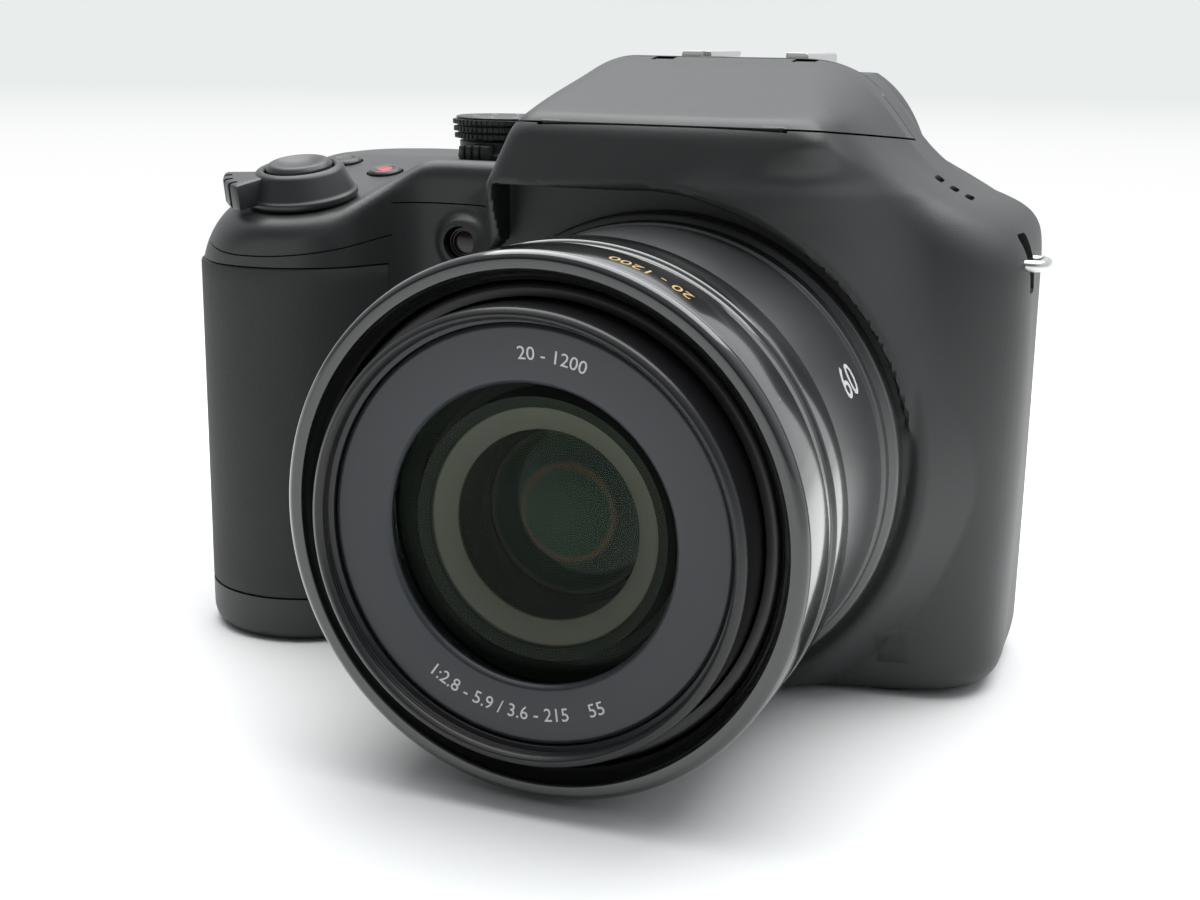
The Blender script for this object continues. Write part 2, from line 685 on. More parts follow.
# Places of the parts that the casing makes room for
RUBBER_SIDE_Y, RUBBER_END_Y = -4.0, -18.0
FLASH_KEY = middle("flash_button")[1:]
HOLLOW = (LEFT + 35.5, RIGHT - 6.5, FRONT + WALL, BACK - WALL)
HOLLOW_R = [4, 3, 3, 10.8]
GRIP_END = LEFT + 36.5
TUNNEL_R, TUNNEL_FRONT, TUNNEL_BACK = 33.85, -32, -3.7
CEILING = SHOULDER - 5.2
BLOCK_HALF, BLOCK_LOW, BLOCK_HIGH = 18.0, 77.0, SEAM_Z - 0.1
WHEEL = middle("rear_dial")
WHEEL_R = (span("rear_dial")[1][0] - span("rear_dial")[0][0]) / 2
WHEEL_LOW = span("rear_dial")[0][2] + 1.6
EYELET_Z, EYELET_HALF, EYELET_FAR_Y, EYELET_GRIP_Y = 65.0, 3.2, -0.5, 5.0
SPEAKER = middle("speaker")
SPEAKER_R, SLOT_PITCH, SLOT_HALF_W, SLOT_HALF = 4.9, 2.3, 0.6, 1.6
TRIPOD_R = 2.6
DOOR_LO, DOOR_HI = span("battery_door")
DOOR_X0, DOOR_X1, DOOR_AXIS = LEFT + 4, LEFT + 29.5, (PART_Y - 1.6, 1.1)
TERMINAL_LO, TERMINAL_HI = span("terminal_door")
TERMINAL_Y0, TERMINAL_Z0, TERMINAL_Z1 = -1.0, 28.0, 54.0
TERMINAL_AXIS = (LEFT + 1, 16.0)
BATTERY_LO, BATTERY_HI = span("battery")
CARD_LO, CARD_HI = span("card_slot")
WELL_LOW = 0.5


def block_y(z):
    """Front of the flash block, on a circle about the hinge."""
    return HINGE_Y - math.sqrt(34.4 ** 2 - (HINGE_Z - z) ** 2)


def flash_bay():
    """Room for the flash block below its cover."""
    y0, y1 = block_y(BLOCK_LOW) - 0.6, block_y(BLOCK_HIGH) - 0.6
    side = [(y1, HUMP_TOP), (y1, BLOCK_HIGH), (y0, BLOCK_LOW - 0.4), (y0 + 13, BLOCK_LOW - 0.4),
            (HINGE_Y, seam_at(HINGE_Y) - 1), (HINGE_Y, HUMP_TOP)]
    return prism(side, 0, -BLOCK_HALF - 0.6, BLOCK_HALF + 0.6)


def main_hollow():
    """Inside of the body beside the grip."""
    return prism(rounded(*HOLLOW, HOLLOW_R), 2, -1, CEILING)


def evf_hollow():
    """Inside of the hump behind the flash hinge."""
    return block(-18.5, 18.5, HINGE_Y + KNUCKLE_R + 2, HOLLOW[3], CEILING - 1, PLATFORM - 2.8)


def grip_hollows():
    """Wells of the battery and the card, and the space above them."""
    over = BATTERY_HI[2] + 3
    upper = rounded(LEFT + 6, GRIP_X + GRIP_R - WALL, GRIP_Y - 6, PART_Y - 2, [1, 1, 8, 8])
    return [well_of(BATTERY_LO, BATTERY_HI, GAP, BATTERY_HI[2] + 1),
            well_of(CARD_LO, CARD_HI, 0.1, CARD_HI[2] + 0.1), prism(upper, 2, over, FAR),
            block(GRIP_X + 8, GRIP_END, HOLLOW[2], PART_Y - 2, over, FAR)]


def well_of(lo, hi, clear, top):
    """Upright hollow with a clearance round a box."""
    return block(lo[0] - clear, hi[0] + clear, lo[1] - clear, hi[1] + clear, WELL_LOW, top)


def door_outline(clear):
    """Outline of the battery door, with a clearance."""
    radii = [0.5, 0.5, 11 + clear, 11 + clear]
    return rounded(DOOR_X0 - clear, DOOR_X1 + clear, GRIP_FRONT + 4.5 - clear, DOOR_AXIS[0], radii, 12)


def door_pocket():
    """Room of the battery door, its hinge pins and its latch."""
    x0, x1, y = DOOR_X0 - GAP, DOOR_X1 + GAP, DOOR_AXIS[0]
    latch_x, latch_y = middle("battery")[0], GRIP_FRONT + 1.9
    return [prism(door_outline(GAP), 2, -1, 2.3), bar(0, DOOR_AXIS, 1.35, x0, x1, 32),
            block(x0, x1, y - 2, y + 1.35, -1, DOOR_AXIS[1]),
            bar(0, DOOR_AXIS, 0.65, x0 - 1.7, x1 + 1.7, 24),
            block(latch_x - 6.4, latch_x + 6.4, latch_y, latch_y + 10.6, 2, 4.2)]


def terminal_pocket():
    """Room of the socket door and its hinge pins."""
    y0, z0, z1 = TERMINAL_Y0 - GAP, TERMINAL_Z0 - GAP, TERMINAL_Z1 + GAP
    x1, (axis_x, y1) = LEFT + 2.4, TERMINAL_AXIS
    return [block(-FAR, x1, y0, y1, z0, z1), bar(2, TERMINAL_AXIS, 1.3, z0, z1, 32),
            block(-FAR, axis_x, y1 - 1, y1 + 1.3, z0, z1),
            bar(2, TERMINAL_AXIS, 0.65, z0 - 1.6, z1 + 1.6, 24), block(x1 - 1, x1 + 2.5, 1, 13, 30, 52)]


def eyelet_pockets():
    """Pockets and bores of the strap loops."""
    cuts = []
    for side, y in ((1, EYELET_FAR_Y), (-1, EYELET_GRIP_Y)):
        edge = RIGHT if side > 0 else LEFT
        lo, hi = sorted((edge - side * 2.6, edge + side * 20))
        cuts.append(prism(rounded(y - 2.1, y + 2.1, EYELET_Z - 4.3, EYELET_Z + 4.3, 0.8, 4), 0, lo, hi))
        lo, hi = sorted((edge - side * 5.6, edge + side * 20))
        cuts += [bar(0, (y + k * EYELET_HALF, EYELET_Z), 0.95, lo, hi, 24) for k in (-1, 1)]
    return cuts


def shoe_pocket():
    """Seat of the accessory shoe."""
    half = 18.7 / 2 + 1.25
    return [block(-half, half, 11.95, 30.05, PLATFORM - 0.8, FAR)]


def wheel_pocket():
    """Room of the thumb wheel and its axle."""
    at = (WHEEL[0], WHEEL[1])
    return [bar(2, at, WHEEL_R + GAP, WHEEL_LOW - GAP, WHEEL_LOW + 5.2 + GAP),
            bar(2, at, 1.55, WHEEL_LOW - 1.9, WHEEL_LOW + 7.1, 32)]


def speaker_slots():
    """Three slots above the loudspeaker, and its seat below them."""
    x, y = SPEAKER[0], SPEAKER[1]
    slots = [rounded(at - SLOT_HALF_W, at + SLOT_HALF_W, y - SLOT_HALF, y + SLOT_HALF, 0.55, 4)
             for at in (x - SLOT_PITCH, x, x + SLOT_PITCH)]
    cuts = [prism(slot, 2, CEILING - 1, FAR) for slot in slots]
    return cuts + [bar(2, (x, y), SPEAKER_R, CEILING - 1, 71)]


LCD_LO, LCD_HI = span("lcd_glass")
PAD = middle("cursor_pad")
PAD_R, MENU_R, ARROW_R = 9.6, 4.4, 7.3
BACK_KEYS = ("lvf_button", "lock_button", "play_button", "display_button", "delete_button")
REST_LO, REST_HI = span("thumb_rest")
DIOPTER = middle("diopter_dial")


def key_radius(node):
    """Radius of a key, without the flange that holds it."""
    lo, hi = span(node)
    return (hi[0] - lo[0]) / 2 - 0.8


def pocket(lo, hi, clear, r, y):
    """Pocket from the back round the outline of a box."""
    return prism(rounded(lo[0] - clear, hi[0] + clear, lo[2] - clear, hi[2] + clear, r), 1, y, FAR)


def rear_cuts():
    """Bores, pockets and hollows of the rear casing."""
    cuts = [above_cover(0), platform_cut(), main_hollow(), evf_hollow(),
            block(LEFT + 5, GRIP_END, PART_Y - 1, HOLLOW[3], 4, WHEEL_LOW - 2.6),
            block(WHEEL[0] + WHEEL_R + 2, GRIP_END, PART_Y - 1, HOLLOW[3], 4, TOP - COVER_SEAM - 1),
            bar(1, (0, EVF_Z), 9, PART_Y, FAR), pocket(LCD_LO, LCD_HI, 0.1, 2, BACK - 1.6),
            pocket(LCD_LO, LCD_HI, -2.9, 2, PART_Y)]
    for node in BACK_KEYS:
        at, r = middle(node)[::2], key_radius(node)
        cuts += [bar(1, at, r + GAP, PART_Y, FAR), bar(1, at, r + 1.1, PART_Y - 1, HOLLOW[3])]
    cuts.append(bar(1, PAD[::2], PAD_R + GAP, PART_Y, FAR))
    cuts += wheel_pocket() + shoe_pocket() + [pocket(REST_LO, REST_HI, 0.1, 5, BACK - 0.8)]
    return cuts + [bar(0, DIOPTER[1:], 4.5, 18.4, FAR), bar(0, DIOPTER[1:], 1.55, 14, FAR, 32)]


LEVER = (GRIP_X + 2.5, GRIP_Y - 3.9)
MOVIE, BURST = (LEFT + 24, -2), (LEFT + 13.5, 3)
DIAL_AT = (middle("mode_dial")[0], middle("mode_dial")[1])


def cover_cuts():
    """Hollow of the top plate and the holes of its controls."""
    y0, y1, t, low = GRIP_Y - 6, PART_Y + 6, 2.4, COVER_SEAM + 1
    side = [(y0, grip_plane(y0) - low), (GRIP_BACK, TOP - low), (y1, TOP - low), (y1, TOP - t),
            (GRIP_BACK, TOP - t), (y0, grip_plane(y0) - t)]
    cuts = [prism(side, 0, LEFT + 8, COVER_STEP_X - 2.5),
            block(COVER_STEP_X - 3, -HUMP_SIDE - 2, FRONT + t, y1, TOP - low, TOP - t),
            lathe("hole", [(0, -8), (3.05, -8), (3.05, 6), (0, 6)], on_grip(*LEVER), 48)]
    cuts += [lathe("hole", [(0, -8), (3.1, -8), (3.1, 4), (0, 4)], on_grip(*p), 64)
             for p in (MOVIE, BURST)]
    cuts.append(bar(2, DIAL_AT, 2.55, TOP - 8, TOP + 4, 48))
    return cuts


def flash_pieces(whole):
    """Sloping flash cover with its block, hinge barrels and hollow."""
    head = combine(copy_of(whole, "head"), [flash_space(0)], "INTERSECT")
    y0, y1, under = block_y(BLOCK_LOW), block_y(BLOCK_HIGH), seam_at(0) - 1
    side = [(y1 + 3, SEAM_Z + 0.5), (y1, BLOCK_HIGH), (y0, BLOCK_LOW), (y0 + 12, BLOCK_LOW),
            (y0 + 15, SEAM_Z + 2)]
    combine(head, [prism(side, 0, -BLOCK_HALF, BLOCK_HALF)], "UNION")
    hollow = [(y1 + 9, under), (HINGE_Y - 5, under), (HINGE_Y - 5, HINGE_Z - 4), (y1 + 9, SEAM_Z + 0.4)]
    low, high, half = BLOCK_LOW + 0.99, BLOCK_HIGH - 0.99, BLOCK_HALF - 1.5
    window = [(block_y(low) - 1, low), (block_y(high) - 1, high), (block_y(high) + 2.2, high),
              (block_y(low) + 2.6, low)]
    cuts = [prism(hollow, 0, -BLOCK_HALF + 2, BLOCK_HALF - 2), prism(window, 0, -half, half),
            bar(0, (y0 + 5, middle("flash_tube")[2]), 2.59, -half, half, 32)]
    cuts += [bar(0, HINGE, KNUCKLE_R + GAP, x - GAP, x + EAR_W + GAP, 48) for x in EAR_AT]
    return combine(head, cuts + [bar(0, HINGE, 1.05, -16, 16, 32)])


def flash_ears():
    """Lugs of the casing that carry the flash pin."""
    parts = []
    for x in EAR_AT:
        foot = block(x, x + EAR_W, HINGE_Y, HINGE_Y + KNUCKLE_R + 3, HINGE_Z - 3, HINGE_Z - 0.6)
        ear = combine(bar(0, HINGE, KNUCKLE_R - 0.5, x, x + EAR_W, 48), [foot], "UNION")
        parts.append(combine(ear, [bar(0, HINGE, 1.02, -FAR, FAR, 32)]))
    return joined("ears", parts)


def body_pieces():
    """Casing parts, all cut from one whole body, and the rubber of the grip."""
    lo, hi = (LEFT - 1.3, GRIP_FRONT - 1.3, -1.3), (RIGHT + 1.6, EVF_BACK + 1.6, HUMP_TOP + 1.6)
    whole = raw("whole", *surface_of(body_field, lo, hi, FINE_STEP))

    def share(name, space):
        return combine(copy_of(whole, name), [space], "INTERSECT")

    front = combine(share("front", block(-FAR, FAR, -FAR, PART_Y - 0.1, -1, FAR)), casing_cuts())
    piece(combine(front, [flash_ears()], "UNION"), "front_casing", "root", CASING, "front_shell")
    piece(combine(share("cover", above_cover(0.22)), cover_cuts()), "top_plate", "root", COVER,
          "top_cover")
    rear = share("rear", block(-FAR, FAR, PART_Y + 0.1, FAR, -1, FAR))
    piece(combine(rear, rear_cuts()), "rear_casing", "root", CASING, "rear_shell")
    piece(flash_pieces(whole), "flash_cover", "flash", COVER, "flash_head")
    drop(whole)
    skin = grip_skin(-RUBBER_T + FIT, 0.0, RUBBER_SIDE_Y, RUBBER_END_Y, RUBBER_Z0, RUBBER_Z1, 0.5)
    piece(skin, "grip_skin", "root", RUBBER, "grip_rubber")


# Lens

BORE_R = span("zoom_barrel_mid")[1][0] + GAP
TUBE_R, SEAM_R, BARREL_R, BARREL_BACK = 33.8, 36.0, 34.4, -12.0
INNER_R = span("zoom_barrel_front")[1][0]
INNER_FRONT, INNER_BACK = span("zoom_barrel_front")[0][1], span("zoom_barrel_front")[1][1]
MID_R = span("zoom_barrel_mid")[1][0]
MID_FRONT, MID_BACK = span("zoom_barrel_mid")[0][1], span("zoom_barrel_mid")[1][1]
FILTER_R, FILTER_D = 27.5, 2.4
PLATE_Y = INNER_FRONT + FILTER_D + 0.2
SEAT_Y = PLATE_Y + 1.8
APERTURE_R = 19.3
PLATE_RIM, PLATE_EDGE, PLATE_DIP = FILTER_R - 1.1, APERTURE_R + 0.45, 0.75
GLASS_LO, GLASS_HI = span("front_lens")
GLASS_R = GLASS_HI[0]
BAFFLE_LO, BAFFLE_HI = span("lens_baffle")
SECOND_LO, SECOND_HI = span("second_lens")
SECOND_R = SECOND_HI[0]


def ring_outline():
    """Front ring: chamfered rim, stepped front face, two bands with a groove between."""
    y0, y1 = RING_FRONT, RING_BACK
    return [(BORE_R, y1, 0.1), (BORE_R, y0 + 2.6), (BORE_R + 0.5, y0 + 2.2), (RING_R - 2.9, y0 + 1.5),
            (RING_R - 2.5, y0 + 0.9), (RING_R - 2.3, y0 + 0.15, 0.3), (RING_R - 0.9, y0, 0.3),
            (RING_R - 0.25, y0 + 0.45, 0.4), (RING_R, y0 + 1.0), (RING_R - 0.16, y0 + 1.15, 0.05),
            (RING_R - 0.16, y0 + 1.4, 0.05), (RING_R, y0 + 1.55), (RING_R, y0 + 9.9, 0.25),
            (RING_R - 0.75, y0 + 10.5, 0.2), (RING_R - 0.6, y0 + 13.4, 0.2),
            (RING_R - 0.05, y0 + 13.8, 0.25), (RING_R - 0.1, y1 - 0.6, 0.25), (RING_R - 0.6, y1, 0.2)]


def barrel_outline():
    """Fixed barrel with its front step, groove and rear bands."""
    front, seam = RING_BACK, COLLAR_FRONT
    return [(BORE_R, front), (BARREL_R - 0.4, front + 0.05), (BARREL_R - 0.4, front + 0.6, 0.1),
            (BARREL_R - 0.05, front + 0.7, 0.2), (BARREL_R, seam - 6.2),
            (BARREL_R - 0.25, seam - 6.0, 0.1), (BARREL_R - 0.25, seam - 5.5, 0.1),
            (BARREL_R + 0.3, seam - 5.2, 0.15), (BARREL_R + 0.5, seam - 3.6, 0.15),
            (BARREL_R + 0.2, seam - 3.4, 0.1), (BARREL_R + 0.25, seam - 2.9, 0.1),
            (SEAM_R - 0.3, seam - 2.5, 0.3), (SEAM_R - 0.05, seam - 1.9, 0.3), (SEAM_R, seam),
            (TUBE_R, seam), (TUBE_R, BARREL_BACK), (BORE_R, BARREL_BACK)]


def front_barrel_outline():
    """Front barrel with its rim, the ridges of the filter thread and the seat of the glass."""
    y0, sleeve = INNER_FRONT, GLASS_R + 1.8
    outline = [(INNER_R - 0.75, y0, 0.3), (INNER_R - 0.1, y0 + 0.5, 0.4), (INNER_R, y0 + 1.2),
               (INNER_R, INNER_BACK), (FILTER_R, INNER_BACK), (FILTER_R, SEAT_Y + 3),
               (sleeve, SEAT_Y + 3), (sleeve, BAFFLE_HI[1]), (GLASS_R + FIT, BAFFLE_HI[1]),
               (GLASS_R + FIT, SEAT_Y), (FILTER_R - 0.55, SEAT_Y), (FILTER_R - 0.55, y0 + FILTER_D)]
    pitch = 0.6
    for i in range(3, 0, -1):
        outline += [(FILTER_R + 0.14, y0 + 0.35 + pitch * i, 0.05),
                    (FILTER_R - 0.02, y0 + 0.35 + pitch * (i - 0.5), 0.05)]
    return outline + [(FILTER_R + 0.15, y0 + 0.4), (FILTER_R + 0.5, y0, 0.2)]


def plate_outline():
    """Flat plate round the front glass, which dips towards the glass."""
    r = FILTER_R - 0.6
    return [(APERTURE_R, SEAT_Y), (APERTURE_R, PLATE_Y + 1.3), (PLATE_EDGE, PLATE_Y + PLATE_DIP, 0.3),
            (PLATE_RIM, PLATE_Y, 0.3), (r, PLATE_Y + 0.45, 0.2), (r, SEAT_Y)]


def glass_outline(r, y0, y1, bulge, hollow, steps=24):
    """Meridian of a glass with a bulged front and back."""
    t = np.linspace(0, 1, steps + 1)
    front = [(r * a, y0 + bulge * a * a) for a in t]
    return front + [(r * a, y1 - hollow * a * a) for a in t[::-1]]


def baffle_outline():
    """Stepped cone behind the front glass, with a seat for the second glass."""
    y0, y1, lip, bore = BAFFLE_LO[1], BAFFLE_HI[1], PLATE_Y + 7.2, SECOND_R + FIT
    return [(GLASS_R, y0), (GLASS_R, y0 + 2.4), (SECOND_R + 1.6, y1 - 3), (SECOND_R + 1.6, y1),
            (bore, y1), (bore, y1 - 4), (12.3, y1 - 4.6, 0.2), (12.3, lip + 0.5), (12.4, lip),
            (15.4, lip - 1.4), (15.6, lip - 2.2), (17.1, lip - 2.9), (17.3, y0 + 2.1), (18.8, y0 + 2.0),
            (19.0, y0 + 1.0), (20.6, y0)]


def lens_pieces():
    """Fixed ring and barrel, the two zoom tubes, and the plate, glasses and baffle in the front one."""
    spun(ring_outline(), on_lens, 256, "lens_front_ring", "root", RING, "lens_ring", ease=0.15)
    spun(barrel_outline(), on_lens, 256, "lens_fixed_barrel", "root", BARREL, "lens_barrel", ease=0.15)
    mid = [(INNER_R + GAP, MID_FRONT), (MID_R - 0.5, MID_FRONT, 0.4), (MID_R, MID_FRONT + 0.5, 0.3),
           (MID_R, MID_BACK), (INNER_R + GAP, MID_BACK)]
    spun(mid, on_lens, 256, "zoom_tube_mid", "zoom_mid", LENS_BLACK, "zoom_barrel_mid")
    spun(front_barrel_outline(), on_lens, 256, "zoom_tube_front", "zoom_front", LENS_BLACK,
         "zoom_barrel_front")
    spun(plate_outline(), on_lens, 256, "front_plate", "zoom_front", PLATE, "name_ring")
    front = glass_outline(GLASS_R, GLASS_LO[1], GLASS_HI[1], 1.8, 0.8)
    spun(front, on_lens, 192, "front_glass", "zoom_front", GLASS, "front_lens", ease=0)
    spun(baffle_outline(), on_lens, 192, "lens_baffle_cone", "zoom_front", BAFFLE, "lens_baffle")
    second = glass_outline(SECOND_R, SECOND_LO[1], SECOND_HI[1], 1.2, 0.8)
    spun(second, on_lens, 128, "second_glass", "zoom_front", INNER_GLASS, "second_lens", ease=0)


# Repeated and drawn-out shapes, grown with Geometry Nodes

def tree_of(name, sockets):
    """Empty tree with a base mesh and further named inputs; it ends in real geometry with a material."""
    tree = bpy.data.node_groups.new(name, "GeometryNodeTree")
    for label, kind in [("Base", "Geometry"), ("Look", "Material"), *sockets]:
        tree.interface.new_socket(label, in_out="INPUT", socket_type="NodeSocket" + kind)
    tree.interface.new_socket("Grown", in_out="OUTPUT", socket_type="NodeSocketGeometry")
    given, result = new_nodes(tree, "NodeGroupInput", "NodeGroupOutput")
    real, paint = new_nodes(tree, "GeometryNodeRealizeInstances", "GeometryNodeSetMaterial")
    link(tree, (real, "Geometry", paint, "Geometry"), (given, "Look", paint, "Material"),
         (paint, "Geometry", result, "Grown"))
    return tree, given, real


def spread_shape(tree, given, real, points, lay):
    """Sets the given shape on the points of a socket, turned by a rotation node."""
    shape, spread = new_nodes(tree, "GeometryNodeObjectInfo", "GeometryNodeInstanceOnPoints")
    link(tree, (given, "Shape", shape, "Object"), (*points, spread, "Points"),
         (shape, "Geometry", spread, "Instance"), (lay, "Rotation", spread, "Rotation"),
         (spread, "Instances", real, "Geometry"))


def grown(tree, base, values):
    """Runs a tree on a base mesh and keeps the result as a plain mesh."""
    step = base.modifiers.new("grow", "NODES")
    step.node_group = tree
    for item in tree.interface.items_tree:
        if item.in_out == "INPUT" and item.name in values:
            step[item.identifier] = values[item.name]
    return evaluated(base)


def copies_tree():
    """A shape at every point of the base, turned by the point's own angles."""
    tree, given, real = tree_of("copies", [("Shape", "Object")])
    angles, lay = new_nodes(tree, "GeometryNodeInputNamedAttribute", "FunctionNodeEulerToRotation")
    angles.data_type = "FLOAT_VECTOR"
    angles.inputs["Name"].default_value = "turned"
    link(tree, (angles, "Attribute", lay, "Euler"))
    spread_shape(tree, given, real, (given, "Base"), lay)
    return tree


def ring_tree():
    """A shape repeated round a circle, with its own x axis pointing outwards."""
    tree, given, real = tree_of("ring", [("Shape", "Object"), ("Count", "Int"), ("Radius", "Float")])
    circle, place = new_nodes(tree, "GeometryNodeMeshCircle", "GeometryNodeInputPosition")
    lay = tree.nodes.new("FunctionNodeAlignRotationToVector")
    lay.axis, lay.pivot_axis = "X", "Z"
    link(tree, (given, "Count", circle, "Vertices"), (given, "Radius", circle, "Radius"),
         (place, "Position", lay, "Vector"))
    spread_shape(tree, given, real, (circle, "Mesh"), lay)
    return tree


def wire_tree():
    """Round wire along the edges of the base."""
    tree, given, real = tree_of("wire", [("Radius", "Float")])
    path, sweep = new_nodes(tree, "GeometryNodeMeshToCurve", "GeometryNodeCurveToMesh")
    profile = tree.nodes.new("GeometryNodeCurvePrimitiveCircle")
    profile.inputs["Resolution"].default_value = 16
    sweep.inputs["Fill Caps"].default_value = True
    link(tree, (given, "Base", path, "Mesh"), (given, "Radius", profile, "Radius"),
         (path, "Curve", sweep, "Curve"), (profile, "Curve", sweep, "Profile Curve"),
         (sweep, "Mesh", real, "Geometry"))
    return tree


COPIES, RING_OF, WIRE = copies_tree(), ring_tree(), wire_tree()


def copies(shape, places, turns=None):
    """One mesh with a shape at each place; turns gives the angles of each copy."""
    base = raw("places", places, [])
    turns = np.zeros((len(places), 3)) if turns is None else turns
    turned = base.data.attributes.new("turned", "FLOAT_VECTOR", "POINT")
    turned.data.foreach_set("vector", np.ravel(turns))
    made = grown(COPIES, base, {"Shape": shape, "Look": CASING})
    drop(shape)
    return made


def fan(shape, centre, radius, z, degrees):
    """Copies of a shape on an arc about an upright axis, each turned to face outwards."""
    angles = [math.radians(d) for d in degrees]
    places = [(centre[0] + radius * math.cos(a), centre[1] + radius * math.sin(a), z) for a in angles]
    return copies(shape, places, [(0, 0, a) for a in angles])


def ring_of(shape, count, radius, place):
    """One mesh with a shape repeated round a circle, moved into the frame."""
    values = {"Shape": shape, "Count": count, "Radius": radius, "Look": CASING}
    made = grown(RING_OF, raw("hub", [], []), values)
    drop(shape)
    return placed(made, place)


def wire(points, radius):
    """Round steel wire along a path of points."""
    base = raw("path", points, [])
    base.data.edges.add(len(points) - 1)
    base.data.edges.foreach_set("vertices", np.ravel([(i, i + 1) for i in range(len(points) - 1)]))
    return outward(grown(WIRE, base, {"Radius": radius, "Look": STEEL}))


def placed(obj, place):
    """Moves a drawn shape from its own axes into the frame."""
    at = np.empty(3 * len(obj.data.vertices))
    obj.data.vertices.foreach_get("co", at)
    at = at.reshape(-1, 3)
    obj.data.vertices.foreach_set("co", np.ravel(np.stack(place(at[:, 0], at[:, 1], at[:, 2]), 1)))
    obj.data.update()
    return outward(obj)


def loft(sections, ends=True):
    """Solid from a stack of sections with equal counts of points, with closed ends or closed to a ring."""
    n, rows = len(sections[0]), len(sections)
    faces = strip(rows, n, not ends, True)
    if ends:
        faces += [range(n), range((rows - 1) * n, rows * n)]
    return outward(raw("loft", [p for section in sections for p in section], faces))


def marks(text, size, depth=0.06):
    """Plain characters as thin raised solids, centred on the origin and read along x."""
    curve = bpy.data.curves.new("marks", "FONT")
    curve.body, curve.size, curve.align_x, curve.align_y = text, size, "CENTER", "CENTER"
    curve.resolution_u, curve.extrude = 3, depth / 2
    words = object_of("marks", curve)
    mesh = bpy.data.meshes.new_from_object(words.evaluated_get(bpy.context.evaluated_depsgraph_get()))
    bpy.data.objects.remove(words)
    bpy.data.curves.remove(curve)
    mesh.materials.clear()
    return object_of("marks", mesh)


# Controls on the top

LEVER_R = span("zoom_lever")[1][0] - LEVER[0]
LEVER_H, LEVER_FLOOR, TAB_R, TAB_AT, TAB_HALF = 5.2, 1.2, LEVER_R + 3.2, 222, 26
SHUTTER_R, SHUTTER_TRAVEL = 5.2, 1.0
DIAL_R = span("mode_dial")[1][0] - DIAL_AT[0]
DIAL_LOW, DIAL_HIGH = TOP + 2 * GAP + 2.9, span("mode_dial")[1][2]
SWITCH_R, SWITCH_LOW, SWITCH_HIGH = DIAL_R - 1, TOP + GAP, TOP + GAP + 2.9


def lever_pieces():
    """Zoom lever: tapered drum with a ribbed finger tab, and the dished shutter button in it."""
    top, well = GAP + LEVER_H, SHUTTER_R + GAP
    drum = [(1.6, -4), (3, -4), (3, GAP), (LEVER_R - 0.3, GAP, 0.2), (LEVER_R, GAP + 0.4, 0.2),
            (LEVER_R, GAP + 1.1, 0.3), (LEVER_R - 0.5, GAP + 1.4, 0.3), (LEVER_R - 1.9, top - 0.3, 0.6),
            (well + 0.4, top, 0.3), (well, top - 0.4, 0.2), (well, GAP + LEVER_FLOOR),
            (1.6, GAP + LEVER_FLOOR)]
    lever = lathe("lever", eased(drum, 0.1), upright(0, 0), 128)
    outline = arc((0, 0), TAB_R, TAB_AT - TAB_HALF, TAB_AT + TAB_HALF, 14)
    outline += arc((0, 0), SHUTTER_R + 1, TAB_AT + TAB_HALF - 4, TAB_AT - TAB_HALF + 4, 6)
    tab = soften(prism(outline, 2, GAP + 0.6, top - 0.5), 0.5)
    groove = prism([(-1.5, -0.42), (1, -0.42), (1, 0.42), (-1.5, 0.42)], 2, GAP, top + 1)
    combine(tab, [fan(groove, (0, 0), TAB_R, 0, (TAB_AT - 13.5, TAB_AT, TAB_AT + 13.5))])
    combine(lever, [tab], "UNION")
    combine(lever, [bar(2, (0, 0), well, GAP + LEVER_FLOOR, FAR, 128)])
    piece(placed(lever, on_grip(*LEVER)), "zoom_ring_lever", "zoom_lever", DIAL, "zoom_lever")
    low, high = LEVER_FLOOR + GAP + SHUTTER_TRAVEL + 0.2, LEVER_H + GAP + 0.8
    button = [(0, -5), (1.5, -5, 0.2), (1.5, low), (SHUTTER_R, low, 0.2), (SHUTTER_R, high - 0.7),
              (SHUTTER_R - 0.5, high - 0.1, 0.4), (SHUTTER_R - 1.1, high, 0.3), (2.2, high - 0.55, 1.5),
              (0, high - 0.7)]
    spun(button, on_grip(*LEVER), 96, "shutter_key", "shutter_button", BUTTON, "shutter_button")


